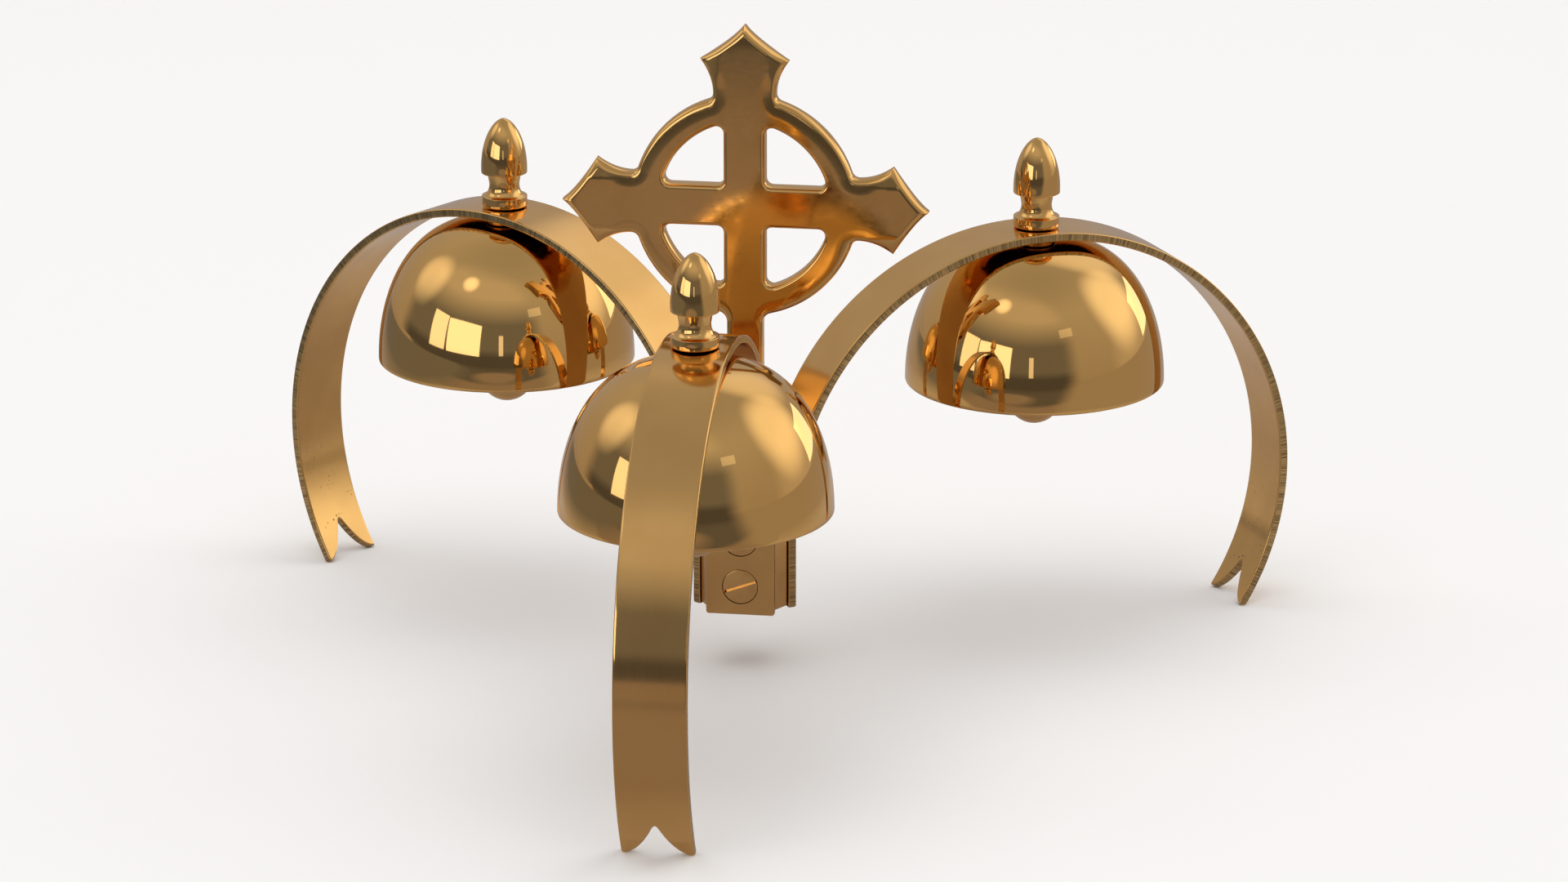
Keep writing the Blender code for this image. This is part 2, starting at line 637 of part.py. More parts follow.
def build_bell(name, leg, meshes):
    """Bell with its bolt, spacer, nut and finial, all on the bell's axis."""
    add_piece(f"bell_{name}", meshes["bell"], leg, (BELL_REACH, 0, LIP_Z))
    add_piece(f"spacer_{name}", meshes["spacer"], leg, (BELL_REACH, 0, CROWN_Z + GAP))
    nut_z = CROWN_Z - BELL_WALL - NUT_HEIGHT - GAP
    nut = add_piece(f"lock_nut_{name}", meshes["nut"], leg, (BELL_REACH, 0, nut_z))
    boolean(nut, add_cutter(f"nut_bore_{name}", meshes["nut_bore"], nut, (0, 0, -NUT_HEIGHT)))
    add_piece(f"hanger_bolt_{name}", meshes["bolt"], leg, (BELL_REACH, 0, 0))
    add_piece(f"finial_{name}", meshes["finial"], leg, (BELL_REACH, 0, FINIAL_Z))


def build_clapper(name, leg, meshes):
    """Stirrup that turns on the bolt, and the clapper that swings on its pin."""
    swivel = empty(f"swivel_axis_{name}", leg, (BELL_REACH, 0, 0))
    stirrup = add_piece(f"clapper_stirrup_{name}", meshes["stirrup"], swivel)
    boolean(stirrup, add_cutter(f"stirrup_hole_{name}", meshes["stirrup_hole"], swivel))
    pin_place = (0, 0, PIN_Z)
    add_piece(f"clapper_pin_{name}", meshes["pin"], swivel, pin_place, (math.pi / 2, 0, 0))
    swing = empty(f"swing_axis_{name}", swivel, pin_place)
    rod = add_piece(f"clapper_rod_{name}", meshes["rod"], swing)
    boolean(rod, add_cutter(f"eye_{name}", meshes["eye"], swing), "UNION")
    boolean(rod, add_cutter(f"eye_hole_{name}", meshes["eye_hole"], swing))
    add_piece(f"clapper_ball_{name}", meshes["ball"], swing, (0, 0, BALL_Z - PIN_Z))


def build():
    """The whole instrument."""
    for item in list(bpy.data.objects):
        bpy.data.objects.remove(item)
    finishes = {
        "polished": brass("polished brass", (0.80, 0.56, 0.22), 0.10),
        "satin": brass("satin brass", (0.72, 0.49, 0.20), 0.32),
        "cast": brass("cast brass", (0.74, 0.50, 0.20), 0.25),
        "turned": brass("turned brass", (0.76, 0.53, 0.22), 0.22),
    }
    polished = finishes["polished"]
    satin = finishes["satin"]
    lathe = finishes["turned"]
    meshes = {
        "strap": strap_mesh(satin),
        "foot": foot_cutter_mesh(),
        "floor": floor_cutter_mesh(),
        "strap_hole": strap_hole_mesh(),
        "screw": turned("strap_screw", screw_profile(0, 0), lathe),
        "slot": slot_cutter_mesh(),
        "bell": bell_mesh(polished),
        "finial": finial_mesh(polished),
        "spacer": ring_mesh("spacer", SPACER_RADIUS, SPACER_HEIGHT, BORE_RADIUS, lathe),
        "nut": disc_mesh("lock_nut", NUT_RADIUS, NUT_HEIGHT, 6, lathe),
        "nut_bore": disc_mesh("nut_bore", BORE_RADIUS, 3 * NUT_HEIGHT, ROUND_SIDES),
        "bolt": bolt_mesh(lathe),
        "stirrup": stirrup_mesh(satin),
        "stirrup_hole": stirrup_hole_mesh(),
        "pin": pin_mesh(lathe),
        "rod": rod_mesh(lathe),
        "eye": eye_mesh(EYE_RADIUS, EYE_WIDTH),
        "eye_hole": eye_mesh(PIN_RADIUS + GAP, 2 * EYE_WIDTH),
        "ball": ball_mesh(polished),
    }
    axis = empty("hub_axis", None, (0, HUB_Y, 0))
    hub = build_hub(axis, finishes)
    for name, angle in STATIONS.items():
        leg = empty(f"leg_{name}", axis, (0, 0, 0), angle)
        build_strap(name, leg, hub, meshes)
        build_bell(name, leg, meshes)
        build_clapper(name, leg, meshes)


build()
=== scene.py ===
"""Standing altar bell in brass: three bells hung under arched strips, round a ringed cross that is the
handle."""

import bmesh
import bpy
import numpy as np
from mathutils import Matrix, Vector
from mathutils.geometry import tessellate_polygon


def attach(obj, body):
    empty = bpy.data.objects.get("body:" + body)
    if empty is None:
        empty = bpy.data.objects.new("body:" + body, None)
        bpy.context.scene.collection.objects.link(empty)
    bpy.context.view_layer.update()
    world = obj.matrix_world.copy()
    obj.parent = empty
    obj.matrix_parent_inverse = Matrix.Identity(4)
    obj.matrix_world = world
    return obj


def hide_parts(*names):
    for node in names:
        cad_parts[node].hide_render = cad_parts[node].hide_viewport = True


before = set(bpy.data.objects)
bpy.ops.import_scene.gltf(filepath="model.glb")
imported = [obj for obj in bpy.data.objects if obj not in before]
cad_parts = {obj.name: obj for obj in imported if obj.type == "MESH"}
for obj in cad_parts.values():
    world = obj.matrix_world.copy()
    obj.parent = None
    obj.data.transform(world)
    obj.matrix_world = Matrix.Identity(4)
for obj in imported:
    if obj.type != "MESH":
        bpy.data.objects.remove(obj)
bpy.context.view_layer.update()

# Hub block: a six-sided piece of brass bar that stands in the middle, with a wide face behind each strip.
# Its corners and rims are filed round, and a seat is bored in its underside for the tenon nut. The faces
# behind the strips are coloured near-black, as painted shade for the slit between the block and each strip.
mm = 0.001
hub_y = 31.083 * mm
merge_distance = 0.0005 * mm
leg_turns = {"front": -np.pi / 2, "right": np.pi / 6, "left": 5 * np.pi / 6}
hub_face = 7.42 * mm
hub_half_face = 7.85 * mm
hub_corner = 0.4 * mm
hub_corner_steps = 7
joint_share = 0.95
hub_rim = 0.5 * mm
hub_rim_steps = 5
hub_low = 15.05 * mm
hub_high = 38.35 * mm
tenon_bore = 2.75 * mm
nut_seat_radius = 4.65 * mm
nut_seat_high = 18.75 * mm
smooth_angle = 35
grain_detail = 3.0
grain_low = 0.3
grain_high = 0.7
grain_height = 0.02 * mm
patch_detail = 4.0
patch_dull = 0.36
patch_bright = 0.62


def eased(corners, reach, steps=5):
    """Open line with its inner corners rounded: corner c becomes (1-t)^2 a + 2t(1-t) c + t^2 b for t from
    0 to 1, where a and b lie one reach before and after it on the line."""
    corners = np.asarray(corners, float)
    back = corners[:-2] - corners[1:-1]
    ahead = corners[2:] - corners[1:-1]
    a = corners[1:-1] + reach * back / np.linalg.norm(back, axis=1, keepdims=True)
    b = corners[1:-1] + reach * ahead / np.linalg.norm(ahead, axis=1, keepdims=True)
    t = np.linspace(0, 1, steps)[:, None, None]
    bends = (1 - t) ** 2 * a + 2 * t * (1 - t) * corners[1:-1] + t**2 * b
    bends = bends.transpose(1, 0, 2).reshape(-1, corners.shape[1])
    return np.concatenate([corners[:1], bends, corners[-1:]])


def eased_loop(corners, reach, steps=5):
    """Closed line with every corner rounded in the same way."""
    corners = np.asarray(corners, float)
    return eased(np.concatenate([corners[-1:], corners, corners[:1]]), reach, steps)[1:-1]


def bands(loops, closed_stack=False):
    """Four-sided faces between each loop of a stack and the next one; a closed stack joins its last to
    its first."""
    index = np.arange(loops.shape[0] * loops.shape[1]).reshape(loops.shape[:2])
    if closed_stack:
        index = np.concatenate([index, index[:1]])
    step = np.roll(index, -1, axis=1)
    return np.stack([index[:-1], step[:-1], step[1:], index[1:]], axis=-1).reshape(-1, 4)


def settled(mesh):
    """The mesh with its doubles merged, its slivers dissolved and every face turned outwards."""
    work = bmesh.new()
    work.from_mesh(mesh)
    bmesh.ops.remove_doubles(work, verts=work.verts, dist=merge_distance)
    bmesh.ops.dissolve_degenerate(work, edges=work.edges, dist=merge_distance)
    bmesh.ops.recalc_face_normals(work, faces=work.faces)
    work.to_mesh(mesh)
    work.free()
    return mesh


def closed_mesh(name, points, faces):
    """Closed mesh of points and faces."""
    mesh = bpy.data.meshes.new(name)
    mesh.from_pydata(points.tolist(), [], faces)
    return settled(mesh)


def skin(name, loops, closed_stack=False):
    """Closed skin over a stack of loops. A stack that isn't closed has each end filled by triangles to
    its middle."""
    points = loops.reshape(-1, 3)
    faces = bands(loops, closed_stack).tolist()
    if not closed_stack:
        count = len(points)
        around = loops.shape[1]
        points = np.concatenate([points, loops[[0, -1]].mean(axis=1)])
        ring = np.arange(around)
        step = np.roll(ring, -1)
        faces += np.stack([step, ring, np.full(around, count)], axis=-1).tolist()
        last = count - around
        faces += np.stack([last + ring, last + step, np.full(around, count + 1)], axis=-1).tolist()
    return closed_mesh(name, points, faces)


def new_piece(name, mesh, *finishes, sharp=smooth_angle):
    """Object at the origin for a mesh that is already in place, smooth but for edges sharper than an
    angle."""
    for finish in finishes:
        mesh.materials.append(finish)
    mesh.shade_smooth()
    mesh.set_sharp_from_angle(angle=np.radians(sharp))
    piece = bpy.data.objects.new(name, mesh)
    bpy.context.scene.collection.objects.link(piece)
    return piece


def tone_run(nodes, links, value, stops):
    """Tones that follow a value from 0 to 1: each stop is a place, a cover and a colour, with straight
    runs between."""
    tones = nodes.new("ShaderNodeValToRGB")
    marks = tones.color_ramp.elements
    for number, (place, cover, colour) in enumerate(stops):
        mark = marks[number] if number < 2 else marks.new(place)
        mark.position = place
        mark.color = (*colour, cover)
    links.new(value, tones.inputs["Fac"])
    return tones


def ranged(nodes, links, value, start, end, low=0.0, high=1.0, soft=False):
    """A number from low to high as a value goes from start to end, held there beyond them, with a soft
    step if asked."""
    number = nodes.new("ShaderNodeMapRange")
    if soft:
        number.interpolation_type = "SMOOTHSTEP"
    number.inputs["From Min"].default_value = start
    number.inputs["From Max"].default_value = end
    number.inputs["To Min"].default_value = low
    number.inputs["To Max"].default_value = high
    links.new(value, number.inputs["Value"])
    return number.outputs["Result"]


def brass(name, bright, dull, smooth, rough, patch, grain, bump, follows="Object"):
    """Procedural brass: the colour drifts between two tones in soft patches, and a fine noise, stretched
    by a scale for each axis, moves the roughness between two values and lifts a faint bump. With no patch
    size the colour follows the fine noise too."""
    finish = bpy.data.materials.new(name)
    finish.use_nodes = True
    nodes = finish.node_tree.nodes
    links = finish.node_tree.links
    shader = nodes["Principled BSDF"]
    shader.inputs["Metallic"].default_value = 1.0
    where = nodes.new("ShaderNodeTexCoord")
    stretch = nodes.new("ShaderNodeMapping")
    stretch.inputs["Scale"].default_value = grain
    links.new(where.outputs[follows], stretch.inputs["Vector"])
    fine = nodes.new("ShaderNodeTexNoise")
    fine.inputs["Scale"].default_value = 1.0
    fine.inputs["Detail"].default_value = grain_detail
    links.new(stretch.outputs["Vector"], fine.inputs["Vector"])
    patches = fine
    if patch:
        patches = nodes.new("ShaderNodeTexNoise")
        patches.inputs["Scale"].default_value = patch
        patches.inputs["Detail"].default_value = patch_detail
        links.new(where.outputs["Object"], patches.inputs["Vector"])
    patch_stops = ((patch_dull, 1, dull), (patch_bright, 1, bright))
    tones = tone_run(nodes, links, patches.outputs["Fac"], patch_stops)
    links.new(tones.outputs["Color"], shader.inputs["Base Color"])
    polish = ranged(nodes, links, fine.outputs["Fac"], grain_low, grain_high, smooth, rough)
    links.new(polish, shader.inputs["Roughness"])
    relief = nodes.new("ShaderNodeBump")
    relief.inputs["Strength"].default_value = bump
    relief.inputs["Distance"].default_value = grain_height
    links.new(fine.outputs["Fac"], relief.inputs["Height"])
    links.new(relief.outputs["Normal"], shader.inputs["Normal"])
    return finish


def hub_loops():
    """Stack of loops over the block and back up through its bore: the six-sided outline, drawn in by a
    quarter circle at the top and bottom rims, then the nut's seat and the tenon's bore, each a length
    along the ways out, at a height."""
    corners = []
    for turn in leg_turns.values():
        for side in (-hub_half_face, hub_half_face):
            x = hub_face * np.cos(turn) - side * np.sin(turn)
            y = hub_face * np.sin(turn) + side * np.cos(turn)
            corners.append((x, y))
    outline = eased_loop(corners, hub_corner, hub_corner_steps)
    length = np.linalg.norm(outline, axis=1)
    way = outline / length[:, None]
    rim = np.linspace(0, np.pi / 2, hub_rim_steps)
    draw = hub_rim * np.concatenate([1 - np.sin(rim), 1 - np.cos(rim)])
    height = np.concatenate([hub_high - hub_rim * (1 - np.cos(rim)), hub_low + hub_rim * (1 - np.sin(rim))])
    walls = length[None, :] - draw[:, None]
    bore = np.full((1, len(outline)), tenon_bore)
    seat = np.full((2, len(outline)), nut_seat_radius)
    lengths = np.concatenate([bore, walls[:1] - hub_rim / 2, walls, walls[-1:] - hub_rim / 2, seat, bore])
    under = [hub_low, hub_low, nut_seat_high, nut_seat_high]
    heights = np.concatenate([[hub_high, hub_high], height, under])
    flat = lengths[:, :, None] * way[None, :, :]
    tall = np.repeat(heights[:, None], len(outline), axis=1)
    return np.stack([flat[..., 0], flat[..., 1] + hub_y, tall], axis=-1)


def mark_joint_faces(mesh):
    """Give the second finish, the painted shade of the slit, to the faces behind the strips: those whose
    normal lies close to a leg's way out."""
    normal = np.zeros(len(mesh.polygons) * 3)
    mesh.polygons.foreach_get("normal", normal)
    ways = np.array([(np.cos(turn), np.sin(turn)) for turn in leg_turns.values()])
    along = (normal.reshape(-1, 3)[:, :2] @ ways.T).max(axis=1)
    mesh.polygons.foreach_set("material_index", (along > joint_share).astype(int))


filed_brass = brass("filed brass", bright=(0.80, 0.48, 0.17), dull=(0.70, 0.40, 0.13),
                    smooth=0.16, rough=0.26, patch=90, grain=(900, 900, 9000), bump=0.25)
# Near-black finish: painted shade for the slit between the hub block and each strip.
slit_shade_brass = brass("slit shade brass", bright=(0.10, 0.065, 0.035), dull=(0.045, 0.03, 0.018),
                    smooth=0.45, rough=0.65, patch=300, grain=(900, 900, 900), bump=0.3)
hub_mesh = skin("hub_block", hub_loops(), closed_stack=True)
mark_joint_faces(hub_mesh)
hub_block = new_piece("hub_block", hub_mesh, filed_brass, slit_shade_brass)
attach(hub_block, "stand")
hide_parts("hub_core")

# Arched strips: three lengths of 16 mm brass flat bar, each bent round a former into a plate, an arch and
# a leg. The faces are polished along the strip, with brown specks near the foot inside, the long edges
# are left as the saw cut them, and the foot is swallow-tailed. Screws hold the plate to the hub block.
strip_half = 8.15 * mm
strip_thick = 2.0 * mm
strip_edge = 0.35 * mm
plate_corner = 0.7 * mm
strip_low = 14.45 * mm
strip_middle = 8.6 * mm
strip_crown = 98.45 * mm
hub_bend = 63.75 * mm
leg_bend = 63.45 * mm
leg_centre = 74.0 * mm
leg_end = np.radians(-33.45)
notch_depth = 9.4 * mm
notch_power = 1.9
notch_join = 0.9
bell_reach = 74.2 * mm
bolt_hole = 2.25 * mm
screw_heights = {"lower": 21.45 * mm, "upper": 33.25 * mm}
screw_face = 9.5 * mm
strip_face_lines = 45
strip_line_power = 1.15
strip_edge_steps = 5
end_set_back = np.array([0.0, 0.08, 0.25, 0.5]) * mm
end_thinner = np.array([0.45, 0.2, 0.05, 0.0]) * mm
plate_start = 2 * mm
plate_rows = 8
arch_rows = 70
crown_rows = 66
leg_rows = 40
edge_share = 0.5
lathe_sides = 96
hole_sides = 64
bolt_hole_half = 3 * mm
speck_density = 900
speck_edge = (0.34, 0.16)
speck_chance = (0.5, 0.6)
tarnish_density = 110
tarnish_edge = (0.48, 0.62)
tarnish_reach = (0.235, 0.262)
tarnish_colour = (0.30, 0.17, 0.07)
mix_first = 6
mix_second = 7
mix_result = 2


def notch_rise(across):
    """How far the cut edge of the foot stands back from its tips: the share f of the way from edge to
    middle line, to a power, with its top rounded by a parabola that it meets at nine tenths of the
    way."""
    f = np.clip(1 - np.abs(across) / strip_half, 0, 1)
    join = notch_join**notch_power
    top = join + notch_power * notch_join ** (notch_power - 1) * (1 - notch_join) / 2
    rounded = top - (top - join) * ((1 - f) / (1 - notch_join)) ** 2
    return notch_depth * np.where(f < notch_join, f**notch_power, rounded) / top


def strip_loops():
    """The strip along +X, and its length and width at each point: a section with eased corners is carried
    up the plate, round the two arcs of the arch and down to the foot, where each of its lines stops at
    its own place on the notch."""
    face = np.linspace(-1, 1, strip_face_lines)
    face = np.sign(face) * np.abs(face) ** strip_line_power * (strip_half - strip_edge)
    bend = np.linspace(0, np.pi / 2, strip_edge_steps)[1:]
    side = strip_half - strip_edge * (1 - np.sin(bend))
    lift = strip_thick / 2 - strip_edge * (1 - np.cos(bend))
    flat = np.full(face.shape, strip_thick / 2)
    across = np.concatenate([face, side, side[::-1], face[::-1], -side, -side[::-1]])
    out = np.concatenate([flat, lift, -lift[::-1], -flat, -lift, lift[::-1]])
    one = np.ones(len(across))
    ends = len(end_set_back)
    upright = np.linspace(strip_low + plate_start, strip_crown - hub_bend, plate_rows)
    plate = np.concatenate([strip_low + end_set_back, upright])
    arch = np.linspace(np.pi, np.pi / 2, arch_rows)[1:]
    run = np.linspace(np.pi / 2, 0, crown_rows)
    tail = np.linspace(0, 1, leg_rows)[1:]
    stop = leg_end + notch_rise(across) / leg_bend
    before_tip = stop + end_set_back[-1] / leg_bend
    tips = stop[None, :] + end_set_back[ends - 2::-1, None] / leg_bend
    leg = np.concatenate([run[:, None] * one, tail[:, None] * before_tip, tips])
    first = len(plate)
    second = first + len(arch)
    rows = second + len(leg)
    thin = np.zeros(rows)
    thin[:ends] = end_thinner
    thin[1 - ends:] = end_thinner[ends - 2::-1]
    off = out[None, :] * (1 - 2 * thin[:, None] / strip_thick)
    x_plate = strip_middle - off[:first]
    z_plate = plate[:, None] * one
    x_arch = strip_middle + hub_bend + (hub_bend + off[first:second]) * np.cos(arch)[:, None]
    z_arch = strip_crown - hub_bend + (hub_bend + off[first:second]) * np.sin(arch)[:, None]
    x_leg = leg_centre + (leg_bend + off[second:]) * np.cos(leg)
    z_leg = strip_crown - leg_bend + (leg_bend + off[second:]) * np.sin(leg)
    x = np.concatenate([x_plate, x_arch, x_leg])
    z = np.maximum(np.concatenate([z_plate, z_arch, z_leg]), 0)
    to_end = np.clip(plate - strip_low, 0, plate_corner)
    corner_draw = plate_corner - np.sqrt(plate_corner**2 - (plate_corner - to_end) ** 2)
    width = np.ones(rows)
    width[:first] = 1 - corner_draw / strip_half
    y = width[:, None] * across[None, :]
    arch_start = strip_crown - hub_bend
    leg_start = arch_start + hub_bend * np.pi / 2
    along_arch = arch_start + hub_bend * (np.pi - arch)
    along = np.concatenate([z_plate, along_arch[:, None] * one, leg_start + leg_bend * (np.pi / 2 - leg)])
    return np.stack([x, y, z], axis=-1), along, y


def strip_mesh():
    """Skin of the strip, its flat ends closed by faces from each line of the outer face to the same one
    of the inner face, with its length and width kept as a map for the polishing marks."""
    loops, along, across = strip_loops()
    rows, around = loops.shape[:2]
    rounding = strip_edge_steps - 1
    line = np.arange(-rounding, around // 2 - rounding - 1)
    facing = 2 * (strip_face_lines + rounding) - 1 - line
    end = np.stack([line, line + 1, facing - 1, facing], axis=-1) % around
    faces = np.concatenate([bands(loops), end, end[:, ::-1] + (rows - 1) * around])
    mesh = bpy.data.meshes.new("strip")
    mesh.from_pydata(loops.reshape(-1, 3).tolist(), [], faces.tolist())
    corner = np.zeros(len(mesh.loops), int)
    mesh.loops.foreach_get("vertex_index", corner)
    layout = np.stack([along.ravel(), across.ravel()], axis=1)[corner]
    mesh.uv_layers.new(name="strip").data.foreach_set("uv", layout.ravel())
    return settled(mesh)


def turned(profile, sides=lathe_sides):
    """Loops of a lathe-turned piece: each point (r, z) of the profile goes round the upright axis, x = r
    cos t and y = r sin t at height z."""
    turn = np.linspace(0, 2 * np.pi, sides, endpoint=False)
    r = np.asarray(profile)[:, :1]
    z = np.asarray(profile)[:, 1:]
    return np.stack([r * np.cos(turn), r * np.sin(turn), z + 0 * turn], axis=-1)


def laid_outwards(loops, height):
    """Lay a piece turned about the upright axis down along +X, its top at the screws' face and its axis
    at a height."""
    return np.stack([screw_face + loops[..., 2], loops[..., 0], height + loops[..., 1]], axis=-1)


def cut_from(mesh, cutter_mesh):
    """What is left of one closed mesh when another is taken away from it."""
    holder = bpy.data.objects.new("holder", mesh)
    cutter = bpy.data.objects.new("cutter", cutter_mesh)
    bpy.context.scene.collection.objects.link(holder)
    bpy.context.scene.collection.objects.link(cutter)
    cut = holder.modifiers.new("cut", "BOOLEAN")
    cut.operation = "DIFFERENCE"
    cut.solver = "EXACT"
    cut.object = cutter
    ready = holder.evaluated_get(bpy.context.evaluated_depsgraph_get())
    left = bpy.data.meshes.new_from_object(ready)
    bpy.data.objects.remove(holder)
    bpy.data.objects.remove(cutter)
    return settled(left)


def stood_on_leg(mesh, leg):
    """Copy of a mesh drawn along +X, turned about the hub's axis to a leg."""
    copy = mesh.copy()
    copy.transform(Matrix.Translation((0, hub_y, 0)) @ Matrix.Rotation(leg_turns[leg], 4, "Z"))
    return copy


def mark_faces(mesh):
    """Give the first finish to the outer face, the second to the inner one and the third to the edges: by
    the normal's share along the line from the centre of the bend, or along the line across the plate. The
    plate's face that lies against the hub gets the fourth, the near-black painted shade of the slit."""
    count = len(mesh.polygons)
    middle = np.zeros(count * 3)
    normal = np.zeros(count * 3)
    mesh.polygons.foreach_get("center", middle)
    mesh.polygons.foreach_get("normal", normal)
    middle = middle.reshape(-1, 3)
    normal = normal.reshape(-1, 3)
    from_x = np.where(middle[:, 0] < strip_middle + hub_bend, strip_middle + hub_bend, leg_centre)
    outward = np.stack([middle[:, 0] - from_x, middle[:, 2] - (strip_crown - hub_bend)], axis=1)
    on_plate = middle[:, 2] < strip_crown - hub_bend
    on_plate &= middle[:, 0] < strip_middle + strip_thick
    outward[on_plate] = (-1, 0)
    outward /= np.linalg.norm(outward, axis=1, keepdims=True)
    facing = normal[:, 0] * outward[:, 0] + normal[:, 2] * outward[:, 1]
    kind = np.where(np.abs(facing) < edge_share, 2, facing < 0).astype(int)
    kind[on_plate & (facing > joint_share)] = 3
    mesh.polygons.foreach_set("material_index", kind)


def mixed(nodes, links, share, first, second, blend="MIX"):
    """Colour that goes from a first to a second one by a share. Each is a colour or the output of a
    node."""
    both = nodes.new("ShaderNodeMix")
    both.data_type = "RGBA"
    both.blend_type = blend
    links.new(share, both.inputs["Factor"])
    for socket, colour in ((mix_first, first), (mix_second, second)):
        if isinstance(colour, tuple):
            both.inputs[socket].default_value = (*colour, 1)
        else:
            links.new(colour, both.inputs[socket])
    return both.outputs[mix_result]


def add_tarnish(finish):
    """Brown specks on a strip's inner face: round spots in the cells of a Voronoi pattern, kept in the
    cells whose random value is high and in the patches of a soft noise, thickest towards the foot."""
    nodes = finish.node_tree.nodes
    links = finish.node_tree.links
    shader = nodes["Principled BSDF"]
    clean = shader.inputs["Base Color"].links[0].from_socket
    where = nodes.new("ShaderNodeTexCoord")
    cells = nodes.new("ShaderNodeTexVoronoi")
    cells.inputs["Scale"].default_value = speck_density
    links.new(where.outputs["UV"], cells.inputs["Vector"])
    cloud = nodes.new("ShaderNodeTexNoise")
    cloud.inputs["Scale"].default_value = tarnish_density
    links.new(where.outputs["UV"], cloud.inputs["Vector"])
    chance = nodes.new("ShaderNodeSeparateColor")
    links.new(cells.outputs["Color"], chance.inputs["Color"])
    length = nodes.new("ShaderNodeSeparateXYZ")
    links.new(where.outputs["UV"], length.inputs["Vector"])
    limits = ((cells.outputs["Distance"], speck_edge), (chance.outputs["Red"], speck_chance),
              (cloud.outputs["Fac"], tarnish_edge), (length.outputs["X"], tarnish_reach))
    shares = [ranged(nodes, links, value, none_at, full_at) for value, (none_at, full_at) in limits]
    amount = shares[0]
    for share in shares[1:]:
        both = nodes.new("ShaderNodeMath")
        both.operation = "MULTIPLY"
        links.new(amount, both.inputs[0])
        links.new(share, both.inputs[1])
        amount = both.outputs["Value"]
    links.new(mixed(nodes, links, amount, clean, tarnish_colour), shader.inputs["Base Color"])


polished_strip = brass("polished strip", bright=(0.82, 0.50, 0.18), dull=(0.78, 0.46, 0.16),
                       smooth=0.07, rough=0.14, patch=60, grain=(60, 6000, 1), bump=0.12, follows="UV")
inner_strip = brass("inner strip", bright=(0.82, 0.50, 0.175), dull=(0.70, 0.42, 0.15),
                    smooth=0.08, rough=0.17, patch=45, grain=(60, 6000, 1), bump=0.12, follows="UV")
add_tarnish(inner_strip)
sawn_edge = brass("sawn edge", bright=(0.68, 0.465, 0.20), dull=(0.25, 0.17, 0.08),
                  smooth=0.12, rough=0.26, patch=None, grain=(4600, 200, 1), bump=0.6, follows="UV")
screw_hole = [(0, 0.5), (4.29, 0.5), (4.29, -0.55), (2.25, -2.9), (2.25, -4.0), (0, -4.0)]
bolt_hole_profile = [(0, -bolt_hole_half), (bolt_hole, -bolt_hole_half), (bolt_hole, bolt_hole_half),
                     (0, bolt_hole_half)]
bare_strip = strip_mesh()
for height in screw_heights.values():
    hole_loops = laid_outwards(turned(np.array(screw_hole) * mm, hole_sides), height)
    bare_strip = cut_from(bare_strip, skin("screw_hole", hole_loops))
bolt_hole_loops = turned(bolt_hole_profile, hole_sides) + np.array([bell_reach, 0, strip_crown])
bare_strip = cut_from(bare_strip, skin("bolt_hole", bolt_hole_loops))
mark_faces(bare_strip)
for leg in leg_turns:
    strip = new_piece(f"arched_strip_{leg}", stood_on_leg(bare_strip, leg),
                      polished_strip, inner_strip, sawn_edge, slit_shade_brass)
    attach(strip, "stand")
    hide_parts(f"strap_{leg}")

# Strip screws: two slotted countersunk screws hold each strip to its face of the hub block. They are
# turned from brass rod and sit a tenth of a millimetre below the strip's face.
screw_profile = [(0, 0), (4.2, 0), (4.2, -0.5), (2.0, -2.7), (2.0, -6.0), (0, -6.0)]
screw_ease = 0.22 * mm
screw_sides = 72
slot_half = 0.32 * mm
slot_depth = 1.0 * mm
slot_reach = 6.0 * mm
slot_tilt = np.radians(20)


def slot_loops():
    """Bar to cut the driver slot: a four-cornered section at each end of a line that rises by the slot's
    tilt."""
    end = np.array([-slot_reach, slot_reach])[:, None]
    aside = np.array([-slot_half, slot_half, slot_half, -slot_half])[None, :]
    deep = np.array([-slot_depth, -slot_depth, slot_reach, slot_reach])[None, :]
    x = end * np.cos(slot_tilt) - aside * np.sin(slot_tilt)
    y = end * np.sin(slot_tilt) + aside * np.cos(slot_tilt)
    return np.stack([x, y, deep + 0 * x], axis=-1)


turned_brass = brass("turned brass", bright=(0.80, 0.49, 0.18), dull=(0.70, 0.42, 0.15),
                     smooth=0.14, rough=0.24, patch=200, grain=(2500, 2500, 2500), bump=0.2)
for place, height in screw_heights.items():
    body_loops = turned(eased(np.array(screw_profile) * mm, screw_ease), screw_sides)
    body = skin("screw", laid_outwards(body_loops, height))
    slotted = cut_from(body, skin("slot", laid_outwards(slot_loops(), height)))
    for leg in leg_turns:
        screw = new_piece(f"slotted_screw_{leg}_{place}", stood_on_leg(slotted, leg), turned_brass)
        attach(screw, "stand")
        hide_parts(f"strap_screw_{leg}_{place}")

# Ringed cross: one brass casting, polished after its edges were rounded over, whose stem stands in the
# hub block. Four openings part the bars inside the ring; each arm flares to two corners and closes to a
# hollow-sided point.
cross_z = 112.15 * mm
cross_half_thick = 2.7 * mm
cross_wall = 0.6 * mm
cross_round = 3.9 * mm
soft_share = 0.21
edge_reach = 1.5 * mm
ring_reach = 1.1 * mm
arm_start = 29.0 * mm
arm_full = 33.0 * mm
tip_start = 37.7 * mm
tip_droop = 0.6 * mm
corner_start = 5.8 * mm
corner_droop = 1.25 * mm
corner_power = 1.2
ring_outer = 26.5 * mm
ring_inner = 20.1 * mm
bar_half = 4.9 * mm
arm_neck = 7.4 * mm
arm_wide = 10.4 * mm
arm_shoulder = 34.8 * mm
arm_tip = 43.4 * mm
arm_power = 1.3
tip_blunt = 0.3 * mm
arm_fillet = 1.8 * mm
stem_half = 4.25 * mm
stem_fillet = 2.4 * mm
stem_round = 0.45
